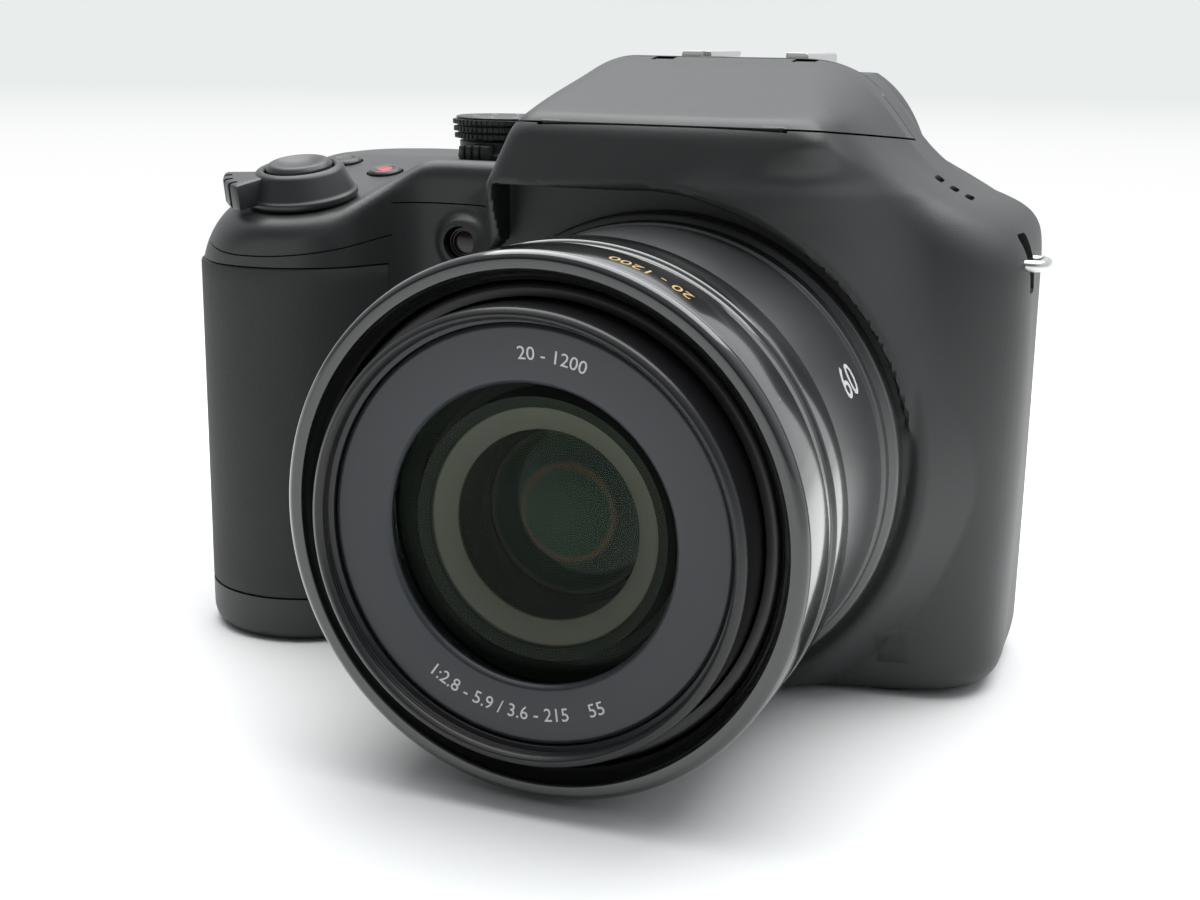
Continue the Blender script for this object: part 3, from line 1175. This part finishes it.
def dial_pieces():
    """Mode dial with three knurled rows and plain numbers, and the switch that forms its neck."""
    x, y = DIAL_AT
    step = (DIAL_HIGH - DIAL_LOW - 0.3) / 3
    outline = [(0, TOP - 4), (2.5, TOP - 4, 0.1), (2.5, DIAL_LOW, 0.1), (DIAL_R - 1.3, DIAL_LOW, 0.1)]
    ribs = []
    for row in range(3):
        r, z = DIAL_R - 0.75 + 0.15 * row, DIAL_LOW + step * row
        outline += [(r, z + 0.12, 0.05), (r, z + step - 0.25, 0.05), (r - 0.45, z + step - 0.12, 0.05),
                    (r - 0.45, z + step, 0.05)]
        rib = prism([(-0.4, -0.26), (0.12, -0.26), (0.28, -0.12), (0.28, 0.12), (0.12, 0.26),
                     (-0.4, 0.26)], 2, 0.16, step - 0.3)
        ribs.append(ring_of(rib, 54, r, lambda u, v, h, z=z: (x + u, y + v, z + h)))
    outline += [(DIAL_R - 0.6, DIAL_HIGH - 0.25, 0.1), (DIAL_R - 1.0, DIAL_HIGH, 0.2),
                (DIAL_R - 1.6, DIAL_HIGH, 0.1), (DIAL_R - 2.0, DIAL_HIGH - 0.12, 0.1),
                (0, DIAL_HIGH - 0.12)]
    dial = lathe("dial", eased(outline, 0.08, 3), upright(x, y), 108)
    combine(dial, ribs, "UNION")
    piece(dial, "mode_wheel", "mode_dial", DIAL, "mode_dial")
    numbers = []
    for i in range(8):
        a = math.radians(90 - 45 * i)
        c, s = math.cos(a), math.sin(a)
        numbers.append(placed(marks(str(i + 1), 2.3, 0.08), lambda u, v, h, c=c, s=s: (
            x + u * s + (5.2 + v) * c, y - u * c + (5.2 + v) * s, DIAL_HIGH - 0.11 + h)))
    piece(joined("numbers", numbers), "mode_numbers", "mode_dial", MARKS)
    neck = [(2.6, SWITCH_LOW), (SWITCH_R, SWITCH_LOW, 0.2), (SWITCH_R, SWITCH_LOW + 0.8, 0.2),
            (SWITCH_R - 0.5, SWITCH_LOW + 1.1, 0.2), (SWITCH_R - 0.3, SWITCH_HIGH, 0.2),
            (2.6, SWITCH_HIGH)]
    switch = lathe("switch", eased(neck, 0.1), upright(x, y), 96)
    outline = arc((0, 0), DIAL_R + 2, 250, 280, 6) + arc((0, 0), 5, 284, 246, 4)
    tab = placed(prism(outline, 2, 0.05, 2.4), lambda u, v, h: (x + u, y + v, SWITCH_LOW + h))
    soften(tab, 0.35)
    groove = prism([(-0.7, -0.25), (0.5, -0.25), (0.5, 0.25), (-0.7, 0.25)], 2, -1, 4)
    combine(tab, [fan(groove, DIAL_AT, DIAL_R + 2, SWITCH_LOW, (257.5, 265, 272.5))])
    piece(combine(switch, [tab], "UNION"), "power_lever", "power_switch", BUTTON, "power_switch")


def top_key_pieces():
    """Movie key with its red dot and burst key, both dished, on the sloping top."""
    r, low, high = 2.8, -3.6, 0.7
    key = [(0, low), (r + 0.8, low), (r + 0.8, low + 0.8), (r, low + 0.8), (r, high - 0.4),
           (r - 0.4, high, 0.3), (r - 1.0, high, 0.2), (r - 1.35, high - 0.2), (0, high - 0.2)]
    spun(key, on_grip(*MOVIE), 64, "movie_key", "movie_button", BUTTON)
    dot = [(0, high - 0.3), (r - 1.42, high - 0.3), (r - 1.42, high - 0.1), (0, high + 0.05)]
    spun(dot, on_grip(*MOVIE), 48, "movie_dot", "movie_button", RED, "movie_button")
    spun(key, on_grip(*BURST), 64, "burst_key", "burst_button", BUTTON, "burst_button")


# Shoe, eyelets, lamp and flash parts

def shoe_pieces():
    """Folded metal shoe with rolled lips, and its contact plate."""
    lo, hi = span("hot_shoe")
    half, t, lip, top = hi[0], 1.2, 6.25, hi[2]
    floor = PLATFORM
    side = [(half, lo[2], 0.2), (half, top, 0.7), (lip, top, 0.3), (lip, top - 0.9, 0.2),
            (half - t, top - 0.9, 0.3), (half - t, floor, 0.3)]
    outline = side + [(-p[0], *p[1:]) for p in side[::-1]]
    outline = [(p[0] + FAR, *p[1:]) for p in outline]
    outline = [(p[0] - FAR, p[1]) for p in eased(outline, 0.2, 4)]
    shoe = prism(outline, 1, lo[1], hi[1])
    combine(shoe, [block(-lip - 0.9, lip + 0.9, lo[1] - 1, lo[1] + 2.2, floor + 0.4, FAR)])
    combine(shoe, [bar(2, (s * 7.6, hi[1] - 4), 0.8, lo[2] - 1, floor + 1, 24) for s in (-1, 1)])
    piece(soften(shoe, 0.12, 50, 1), "shoe_rails", "root", STEEL, "hot_shoe")
    plate = prism(rounded(-5.4, 5.4, lo[1] + 3, hi[1] - 3, 1.2, 4), 2, floor - 0.1, floor + 0.35)
    piece(soften(plate, 0.15), "shoe_plate", "root", INNER)
    contact = [(0, floor), (1, floor), (1, floor + 0.45), (0.7, floor + 0.55), (0, floor + 0.55)]
    stud = lathe("stud", eased(contact, 0.1), upright(0, 0), 20)
    studs = copies(stud, [(0, 20.6, 0), (-3.4, 16.8, 0), (3.4, 16.8, 0), (-3.4, 24, 0), (3.4, 24, 0)])
    piece(studs, "shoe_contacts", "root", BRASS)


def eyelet_pieces():
    """Bent wire loops at both sides."""
    loops = []
    for side, edge, y in ((1, RIGHT, EYELET_FAR_Y), (-1, LEFT, EYELET_GRIP_Y)):
        out, inner, bend, half = 2.2, -5.2, 1.6, EYELET_HALF
        path = [(inner, -half), *arc((out - bend, bend - half), bend, 270, 360, 6)]
        path += [*arc((out - bend, half - bend), bend, 0, 90, 6), (inner, half)]
        loops.append(wire([(edge + side * u, y + v, EYELET_Z) for u, v in path], 0.88))
    piece(joined("loops", loops), "strap_loops", "root", STEEL, "strap_eyelets")


def lamp_piece():
    """Focus lamp behind its rim."""
    lo, hi = span("af_lamp")
    r = (hi[0] - lo[0]) / 2
    lens = [(0, hi[1]), (r, hi[1]), (r, lo[1] + 1.0), (r - 0.5, lo[1] + 0.9, 0.2),
            (r - 0.6, lo[1] + 1.4, 0.2), (0, lo[1] + 0.7)]
    spun(lens, along_y(LAMP_X, LAMP_Z), 64, "focus_lamp", "root", LAMP, "af_lamp")


def flash_parts():
    """Ribbed flash window, tube, hinge pin and opening key."""
    lo, hi = span("flash_window")
    low, high, half = lo[2], hi[2], hi[0]
    ribs, count = [], 9
    for i in range(count):
        z0, z1 = low + (high - low) * i / count, low + (high - low) * (i + 1) / count
        ribs += [(block_y(z0) + 0.2, z0), (block_y((z0 + z1) / 2) + 0.55, z1 - 0.01)]
    outline = ribs + [(block_y(high) + 1.6, high), (block_y(low) + 1.6, low)]
    piece(prism(outline, 0, -half, half), "flash_diffuser", "flash", WINDOW, "flash_window", smooth=20)
    lo, hi = span("flash_tube")
    at, r = middle("flash_tube"), (hi[2] - lo[2]) / 2
    tube = [(0, lo[0]), (r - 0.3, lo[0]), (r, lo[0] + 0.4), (r, lo[0] + 2), (r - 0.3, lo[0] + 2.3),
            (r - 0.3, hi[0] - 2.3), (r, hi[0] - 2), (r, hi[0] - 0.4), (r - 0.3, hi[0]), (0, hi[0])]
    spun(tube, along_x(at[1], at[2]), 32, "flash_lamp", "flash", WINDOW, "flash_tube")
    lo, hi = span("flash_pin")
    pin = [(0, lo[0]), (0.7, lo[0]), (1, lo[0] + 0.4), (1, hi[0] - 0.4), (0.7, hi[0]), (0, hi[0])]
    spun(pin, along_x(HINGE_Y, HINGE_Z), 32, "flash_hinge_pin", "root", STEEL, "flash_pin")
    lo, hi = span("flash_button")
    r, x0, x1, flange = 2.4, lo[0], hi[0], -21 + GAP
    key = [(0, x0 + 0.25), (r - 0.8, x0 + 0.1, 0.3), (r - 0.3, x0, 0.2), (r, x0 + 0.5, 0.3), (r, flange),
           (r + 0.8, flange), (r + 0.8, flange + 0.9), (r, flange + 0.9), (r, x1), (0, x1)]
    spun(key, along_x(*FLASH_KEY), 48, "flash_key", "flash_button", BUTTON, "flash_button")


# Back: screen, viewfinder, keys and thumb rest

def slab(lo, hi, steps, points):
    """Rounded slab in the back; a step holds a section's depth, inset and corner radius."""
    def section(y, d, r):
        return [(u, y, v) for u, v in rounded(lo[0] + d, hi[0] - d, lo[2] + d, hi[2] - d, r, points)]

    return loft([section(*step) for step in steps])


def screen_piece():
    """Screen glass with a rounded edge and a sunk border."""
    y0, y1 = LCD_LO[1], LCD_HI[1]
    steps = [(y0, 0), (y1 - 0.35, 0), (y1 - 0.1, 0.12), (y1, 0.4), (y1, 2.6), (y1 - 0.06, 2.7)]
    glass = slab(LCD_LO, LCD_HI, [(y, d, max(2 - d, 0.4)) for y, d in steps], 6)
    piece(glass, "screen_glass", "root", SCREEN, "lcd_glass")


def viewfinder_pieces():
    """Soft eyecup with a rolled rim, eyepiece lens and the knurled dioptre wheel."""
    lo, hi = span("eyecup")
    z = (lo[2] + hi[2]) / 2
    half_w, half_h = hi[0], hi[2] - z
    corner = 0.5 * half_h

    def frame_at(y, w, h, r):
        return [(u, y, z + v) for u, v in rounded(-w, w, -h, h, r, 8)]

    back, front = lo[1], hi[1]
    outside = [(back, 0.5), (back + 0.5, 0.15), (back + 1.4, 0.0), (back + 2.0, 0.5), (back + 3.2, 0.55),
               (back + 4.0, 0.1), (back + 4.7, 0.0), (front - 0.3, 0.35), (front, 1.0)]
    inside = [(front, 1.9), (front - 0.5, 2.6), (front - 2.2, 4.0), (back + 1.4, 6.0), (back, 7.0)]
    sections = [frame_at(y, half_w - d, half_h - d, corner - 0.5 * d) for y, d in outside]
    sections += [frame_at(y, half_w - d, half_h - 0.57 * d, max(corner - 0.4 * d, 2)) for y, d in inside]
    piece(loft(sections, ends=False), "eye_cup", "root", RUBBER, "eyecup")
    lo, hi = span("evf_lens")
    glass = glass_outline(hi[0], lo[1], hi[1], 0.6, 0.9)
    spun(glass, along_y(0, z), 64, "eyepiece", "root", EYEPIECE, "evf_lens", ease=0)
    lo, hi = span("diopter_dial")
    r, at = (hi[2] - lo[2]) / 2, along_x(DIOPTER[1], DIOPTER[2])
    wheel = [(0, lo[0]), (1.5, lo[0]), (1.5, hi[0] - 3), (r - 0.9, hi[0] - 3, 0.2),
             (r - 0.3, hi[0] - 2.6, 0.2), (r - 0.3, hi[0] - 0.5, 0.2), (r - 0.9, hi[0], 0.3),
             (1.2, hi[0], 0.2), (0.9, hi[0] - 0.3), (0, hi[0] - 0.3)]
    dial = lathe("dioptre", eased(wheel, 0.1), at, 72)
    rib = prism([(-0.3, -0.2), (0.28, -0.1), (0.28, 0.1), (-0.3, 0.2)], 2, hi[0] - 2.5, hi[0] - 0.6)
    piece(combine(dial, [ring_of(rib, 36, r - 0.3, at)], "UNION"), "dioptre_wheel", "diopter_dial", DIAL,
          "diopter_dial")


def key_outline(r, low, high, flange_y):
    """Side of a key: flange behind the wall, rounded rim and dished face. Heights run backwards."""
    return [(0, low), (r + 0.8, low), (r + 0.8, flange_y), (r, flange_y), (r, high - 0.3),
            (r - 0.3, high, 0.3), (r - 0.8, high, 0.2), (0.6, high - 0.25, 0.6), (0, high - 0.25)]


def back_key_pieces():
    """Keys on the back, and the cursor ring with its arrows."""
    for node in BACK_KEYS:
        at, (lo, hi) = middle(node), span(node)
        outline = key_outline(key_radius(node), lo[1], hi[1], lo[1] + 0.8)
        spun(outline, along_y(at[0], at[2]), 48, node.replace("button", "key"), node, BUTTON, node)
    lo, hi = span("menu_button")
    outline = [(0, lo[1]), (MENU_R, lo[1]), (MENU_R, hi[1] - 0.5), (MENU_R - 0.5, hi[1], 0.4),
               (MENU_R - 1.2, hi[1], 0.2), (0, hi[1] - 0.35)]
    spun(outline, along_y(PAD[0], PAD[2]), 64, "menu_key", "menu_button", BUTTON, "menu_button")
    lo, hi = span("cursor_pad")
    inner, high = MENU_R + 0.5, hi[1]
    outline = [(inner, lo[1]), (PAD_R + 1, lo[1]), (PAD_R + 1, lo[1] + 0.9), (PAD_R, lo[1] + 0.9),
               (PAD_R, high - 0.6), (PAD_R - 0.5, high, 0.4), (PAD_R - 1.4, high - 0.05, 0.4),
               (inner + 1.2, high - 0.5, 0.4), (inner, high - 0.45, 0.2)]
    pad = lathe("pad", eased(outline, 0.1), along_y(PAD[0], PAD[2]), 96)
    piece(pad, "cursor_ring", "cursor_pad", BUTTON, "cursor_pad")
    arrow = prism([(0.75, 0), (-0.45, 0.8), (-0.45, -0.8)], 2, -0.1, 0.12)
    arrows = fan(arrow, (0, 0), ARROW_R, high - 0.2, (0, 90, 180, 270))
    piece(placed(arrows, along_y(PAD[0], PAD[2])), "cursor_arrows", "cursor_pad", MARKS)


def thumb_piece():
    """Rubber pad for the thumb with a rounded rim and raised ribs."""
    (_, y0, z0), (_, y1, z1) = REST_LO, REST_HI
    steps = [(y0, 0), (BACK, 0), (y1 - 1.3, 0.35), (y1 - 0.7, 1.1), (y1 - 0.42, 2.4), (y1 - 0.4, 3.4)]
    pad = slab(REST_LO, REST_HI, [(y, d, 5 - 0.6 * d) for y, d in steps], 8)
    rib = soften(block(-6.5, 6.5, y1 - 1, y1, -0.45, 0.45), 0.25)
    ribs = copies(rib, [(middle("thumb_rest")[0], 0, z) for z in np.arange(z0 + 5, z1 - 4, 1.9)])
    piece(combine(pad, [ribs], "UNION"), "thumb_pad", "root", RUBBER, "thumb_rest")


def wheel_piece():
    """Ribbed thumb wheel on its axle."""
    lo, hi = span("rear_dial")
    z0, z1 = lo[2] + 1.6, hi[2] - 1.6
    outline = [(0, lo[2]), (1.5, lo[2]), (1.5, z0), (WHEEL_R - 1, z0, 0.3),
               (WHEEL_R - 0.45, z0 + 0.5, 0.2), (WHEEL_R - 0.45, z1 - 0.5, 0.2), (WHEEL_R - 1, z1, 0.3),
               (1.5, z1), (1.5, hi[2]), (0, hi[2])]
    wheel = lathe("wheel", eased(outline, 0.1), upright(WHEEL[0], WHEEL[1]), 96)
    rib = prism([(-0.4, -0.36), (0.2, -0.32), (0.42, -0.16), (0.42, 0.16), (0.2, 0.32), (-0.4, 0.36)], 2,
                z0 + 0.45, z1 - 0.45)
    ribs = ring_of(rib, 40, WHEEL_R - 0.45, upright(WHEEL[0], WHEEL[1]))
    piece(combine(wheel, [ribs], "UNION"), "thumb_wheel", "rear_dial", DIAL, "rear_dial")


# Base and side

SCREW_X0, SCREW_X1 = HOLLOW[0] + 2.6, HOLLOW[1] - 2.6
SCREW_AT = [(SCREW_X1, FRONT + 12), (SCREW_X1, 16), (SCREW_X0, -6), (SCREW_X0, 16)]


def base_pieces():
    """Base plate with cross-head screws and the threaded tripod bush."""
    lo, hi = span("bottom_cover")
    plate = prism(rounded(lo[0], hi[0], lo[1], hi[1], HOLLOW_R), 2, 0, 2)
    soften(plate, 0.3)
    cuts = [bar(2, (0, 0), 5.05, -1, 4, 64)]
    cuts += [bar(2, p, 2.05, -1, 1.2, 32) for p in SCREW_AT]
    cuts += [bar(2, p, 1.05, 1, 4, 24) for p in SCREW_AT]
    rim = copies(soften(block(-4, 4, -0.3, 0.3, -0.3, 0.25), 0.1, steps=1),
                 [(0, y, 0) for y in (-8.6, -7.6, 7.6, 8.6)])
    piece(combine(plate, cuts + [rim]), "base_plate", "root", COVER, "bottom_cover")
    head = [(0, 0.3), (1.5, 0.3), (2, 0.7, 0.2), (2, 1.2), (1, 1.2), (1, 7.6), (0.6, 8), (0, 8)]
    screw = lathe("screw", eased(head, 0.1), upright(0, 0), 24)
    combine(screw, [block(-1.2, 1.2, -0.25, 0.25, 0, 0.85), block(-0.25, 0.25, -1.2, 1.2, 0, 0.85)])
    piece(copies(screw, [(*p, 0) for p in SCREW_AT], [(0, 0, 0.4 * i) for i in range(4)]), "base_screws",
          "root", STEEL, "case_screws")
    bush = [(0, 6.99), (4.7, 7), (5, 6.7, 0.1), (5, 0.2, 0.1), (4.8, 0, 0.1), (3.6, 0, 0.1)]
    r = TRIPOD_R
    for i in range(4):
        z = 0.6 + 1.27 * i
        bush += [(r, z), (r + 0.45, z + 0.5), (r, z + 1.0)]
    bush += [(r, 5.5), (0, 5.5)]
    spun(bush, upright(0, 0), 64, "tripod_bush", "root", STEEL, "tripod_socket", ease=0.03)


def door_pieces():
    """Battery door with grip grooves and a sliding latch."""
    mid_x, y0 = middle("battery")[0], DOOR_LO[1]
    door = soften(prism(door_outline(0), 2, 0.1, 2.0), 0.25)
    pin = bar(0, DOOR_AXIS, 0.6, DOOR_LO[0], DOOR_HI[0], 24)
    combine(door, [bar(0, DOOR_AXIS, 1.05, DOOR_X0, DOOR_X1, 32), pin], "UNION")
    slot = block(mid_x - 4.8, mid_x + 4.8, y0 + 6.5 - 2.5 - 2.2 - GAP, y0 + 6.5 + 2.5 + GAP, -1, 10)
    grip = copies(soften(block(-5, 5, -0.35, 0.35, -0.2, 0.4), 0.15, steps=1),
                  [(mid_x, 8 + 1.4 * i, 0) for i in range(4)])
    piece(combine(door, [slot, grip]), "battery_lid", "battery_door", COVER, "battery_door")
    lo, hi = span("battery_latch")
    knob = soften(block(mid_x - 4.5, mid_x + 4.5, y0 + 4, y0 + 9, 0.4, 2.6), 0.3)
    tongue = block(lo[0], hi[0], lo[1], hi[1], 2.1, hi[2])
    combine(knob, [tongue], "UNION")
    groove = copies(block(-3.6, 3.6, -0.25, 0.25, 0, 0.75),
                    [(mid_x, y0 + 5.3 + 0.8 * i, 0) for i in range(4)])
    piece(combine(knob, [groove]), "battery_catch", "battery_latch", BUTTON, "battery_latch")


def terminal_pieces():
    """Socket door with a finger notch and a raised panel."""
    y0, y1, z0, z1 = TERMINAL_Y0, TERMINAL_AXIS[1], TERMINAL_Z0, TERMINAL_Z1
    door = soften(block(LEFT + 0.05, LEFT + 1.8, y0, y1, z0, z1), 0.3)
    pin = bar(2, TERMINAL_AXIS, 0.6, TERMINAL_LO[2], TERMINAL_HI[2], 24)
    combine(door, [bar(2, TERMINAL_AXIS, 1.0, z0, z1, 32), pin], "UNION")
    notch = bar(0, (y0 - 0.6, (z0 + z1) / 2), 2.6, LEFT - 1, LEFT + 0.9, 32)
    line = prism(rounded(y0 + 2, y1 - 2, z0 + 2, z1 - 2, 1.5, 4), 0, LEFT - 1, LEFT + 0.25)
    inner = prism(rounded(y0 + 2.5, y1 - 2.5, z0 + 2.5, z1 - 2.5, 1.2, 4), 0, LEFT - 2, LEFT + 2)
    piece(combine(door, [notch, combine(line, [inner])]), "terminal_lid", "terminal_door", COVER,
          "terminal_door")


# Plain marks on the lens and the switch

def ring_marks():
    """Plain numbers: white round the front plate and on the barrel, gold on the front band."""
    def on_plate(at, r, upper):
        sign = -1 if upper else 1
        def place(u, v, h):
            a = math.radians(at) + sign * u / r
            k = r - sign * v
            return k * np.cos(a), plate_face(k) - 0.03 - h, LENS_Z + k * np.sin(a)
        return place

    white = []
    for text, at, upper in (("20 - 1200", 82, True), ("1:2.8 - 5.9 / 3.6 - 215    55", 266, False)):
        white.append(placed(marks(text, 2.4), on_plate(at, 23.1, upper)))
    piece(joined("white", white), "plate_numbers", "zoom_front", MARKS)

    def on_tube(r, at, y, along=False):
        def place(u, v, h):
            across, ahead = (v, u) if along else (u, -v)
            a = math.radians(at) + across / r
            return (r + h) * np.cos(a), y + ahead, LENS_Z + (r + h) * np.sin(a)
        return place

    gold = placed(marks("20 - 1200", 3.0), on_tube(RING_R, 68, RING_FRONT + 5.6))
    piece(gold, "band_numbers", "root", GOLD)
    grey = placed(marks("60", 6.4), on_tube(BARREL_R, 27, -34.5, along=True))
    piece(grey, "barrel_number", "root", MARKS)


def plate_face(r):
    """Front of the plate at a radius."""
    return PLATE_Y + PLATE_DIP * (PLATE_RIM - r) / (PLATE_RIM - PLATE_EDGE)


def switch_marks():
    """Plain words beside the power switch."""
    words = []
    for text, dx, dy in (("ON", 4.6, -11), ("OFF", -6.4, -10.2)):
        x, y = DIAL_AT[0] + dx, DIAL_AT[1] + dy
        words.append(placed(marks(text, 1.7), lambda u, v, h, x=x, y=y: (x + u, y + v, TOP + 0.02 + h)))
    piece(joined("switch_words", words), "switch_words", "root", MARKS)


def badge_piece():
    """Bare square plate low on the far side of the front, laid on the casing."""
    cols, rows, t = 9, 9, 0.22
    u, v = np.meshgrid(np.linspace(-2.5, 2.5, cols), np.linspace(-2.9, 2.9, rows))
    x, z = 35.0 + u.ravel(), 8.7 + v.ravel()
    low, high = np.full(x.size, -40.0), np.full(x.size, 5.0)
    for _ in range(40):
        half = (low + high) / 2
        inside = body_field(np.stack([x, half, z], 1)) < 0
        high, low = np.where(inside, half, high), np.where(inside, low, half)
    edge = (np.abs(u.ravel()) > 2.4) | (np.abs(v.ravel()) > 2.8)
    front = np.stack([x, high - np.where(edge, 0.02, t), z], 1)
    back = np.stack([x, high + 0.3, z], 1)
    n = cols * rows
    number = np.arange(n).reshape(rows, cols)
    faces = strip(rows, cols, False, False)
    faces += [tuple(k + n for k in face) for face in faces]
    rim = [*number[0, :-1], *number[:-1, -1], *number[-1, :0:-1], *number[:0:-1, 0]]
    faces += [(a, b, b + n, a + n) for a, b in zip(rim, rim[1:] + rim[:1])]
    badge = outward(raw("badge", np.concatenate([front, back]), faces))
    piece(badge, "badge_plate", "root", LENS_BLACK)


for build in (body_pieces, lens_pieces, lever_pieces, dial_pieces, top_key_pieces, shoe_pieces,
              eyelet_pieces, lamp_piece, flash_parts, screen_piece, viewfinder_pieces, back_key_pieces,
              thumb_piece, wheel_piece, base_pieces, door_pieces, terminal_pieces, ring_marks,
              switch_marks, badge_piece):
    build()

# CAD nodes that keep their own shape
for name, node in frame["nodes"].items():
    if not node.hide_render:
        node.data.materials.clear()
        node.data.materials.append(LOOKS[slot_of[name]])


# Stage: camera, floor, backdrop and light

CAMERA = np.array((82.8, -254.4, 96.5))
YAW, PITCH, ROLL = math.radians(21.8), math.radians(13.7), math.radians(0.85)
PALE, TABLE, ROOM = (0.815, 0.845, 0.84), (0.86, 0.865, 0.86), (0.93, 0.97, 1)
FLOOR_HALF, FLOOR_Z = 4000, -0.05
BACKDROP_R, BACKDROP_H, BACKDROP_STEPS = 3900, 400, 96


def floor_look():
    """White table that takes the shadow near the object and fades into the pale background far away."""
    mat = bpy.data.materials.new("floor")
    mat.use_nodes = True
    tree = mat.node_tree
    table, out = tree.nodes["Principled BSDF"], tree.nodes["Material Output"]
    table.inputs["Base Color"].default_value = (*TABLE, 1)
    table.inputs["Roughness"].default_value = 0.75
    place, reach = new_nodes(tree, "ShaderNodeTexCoord", "ShaderNodeVectorMath")
    tint, glow, mix = new_nodes(tree, "ShaderNodeMix", "ShaderNodeEmission", "ShaderNodeMixShader")
    reach.operation, tint.data_type = "LENGTH", "RGBA"
    tint.inputs["A"].default_value, tint.inputs["B"].default_value = (1, 1, 1, 1), (*PALE, 1)

    def fade(near, far):
        step = tree.nodes.new("ShaderNodeMapRange")
        step.interpolation_type = "SMOOTHSTEP"
        step.inputs["From Min"].default_value, step.inputs["From Max"].default_value = near, far
        link(tree, (reach, "Value", step, "Value"))
        return step

    link(tree, (place, "Object", reach, 0), (fade(0.7, 3.2), "Result", tint, "Factor"),
         (tint, "Result", glow, "Color"), (fade(0.16, 0.6), "Result", mix, "Fac"),
         (table, "BSDF", mix, 1), (glow, "Emission", mix, 2), (mix, "Shader", out, "Surface"))
    return mat


def studio_world():
    """White room: bright above, beside and behind the object, dim on the camera's side."""
    world = bpy.data.worlds.new("studio")
    world.use_nodes = True
    tree = world.node_tree
    room = tree.nodes["Background"]
    room.inputs["Color"].default_value = (*ROOM, 1)
    place, toward = new_nodes(tree, "ShaderNodeTexCoord", "ShaderNodeVectorMath")
    level = tree.nodes.new("ShaderNodeMapRange")
    toward.operation = "DOT_PRODUCT"
    toward.inputs[1].default_value = (0.25, 0.87, 0.42)
    level.interpolation_type = "SMOOTHSTEP"
    for socket, value in (("From Min", -0.75), ("From Max", 0.45), ("To Min", 0.04), ("To Max", 0.85)):
        level.inputs[socket].default_value = value
    link(tree, (place, "Generated", toward, 0), (toward, "Value", level, "Value"),
         (level, "Result", room, "Strength"))
    return world


def glow_look():
    """Even pale glow of the backdrop."""
    mat = bpy.data.materials.new("backdrop")
    mat.use_nodes = True
    glow = mat.node_tree.nodes.new("ShaderNodeEmission")
    glow.inputs["Color"].default_value = (*PALE, 1)
    link(mat.node_tree, (glow, "Emission", mat.node_tree.nodes["Material Output"], "Surface"))
    return mat


def set_piece(name, verts, faces, look):
    """Part of the stage, drawn in millimetres."""
    obj = raw(name, verts, faces)
    obj.data.transform(Matrix.Scale(MM, 4))
    obj.data.materials.append(look)
    return obj


def surroundings():
    """Floor, and a low pale wall round it that closes the gap between the floor and the room."""
    half = FLOOR_HALF
    corners = [(-half, -half), (half, -half), (half, half), (-half, half)]
    floor = set_piece("floor", [(*p, FLOOR_Z) for p in corners], [(0, 1, 2, 3)], floor_look())
    ring = [(BACKDROP_R * math.cos(a), BACKDROP_R * math.sin(a)) for a in turn(BACKDROP_STEPS)]
    verts = [(*p, z) for z in (FLOOR_Z, BACKDROP_H) for p in ring]
    wall = set_piece("backdrop", verts, strip(2, BACKDROP_STEPS, False, True), glow_look())


def studio():
    """Camera of the photo, the surroundings and one large lamp overhead."""
    ahead = Vector((-math.sin(YAW) * math.cos(PITCH), math.cos(YAW) * math.cos(PITCH), -math.sin(PITCH)))
    side = Vector((math.cos(YAW), math.sin(YAW), 0))
    up = side.cross(ahead)
    turned_side = side * math.cos(ROLL) + up * math.sin(ROLL)
    turned_up = up * math.cos(ROLL) - side * math.sin(ROLL)
    camera = object_of("camera", bpy.data.cameras.new("camera"))
    camera.data.sensor_width, camera.data.lens, camera.data.clip_start = 36, 51, 0.01
    turned = Matrix((turned_side, turned_up, -ahead)).transposed().to_4x4()
    camera.matrix_world = Matrix.Translation(Vector(CAMERA * MM)) @ turned
    bpy.context.scene.camera = camera
    surroundings()
    bpy.context.scene.world = studio_world()
    area = bpy.data.lights.new("overhead", "AREA")
    area.shape, area.size, area.size_y, area.energy = "RECTANGLE", 1.1, 0.9, 12
    lamp = object_of("overhead", area)
    lamp.location = (0, 0.15, 0.75)
    lamp.rotation_euler = (-lamp.location).to_track_quat("-Z", "Y").to_euler()


studio()
bpy.context.scene.view_settings.view_transform = "Standard"
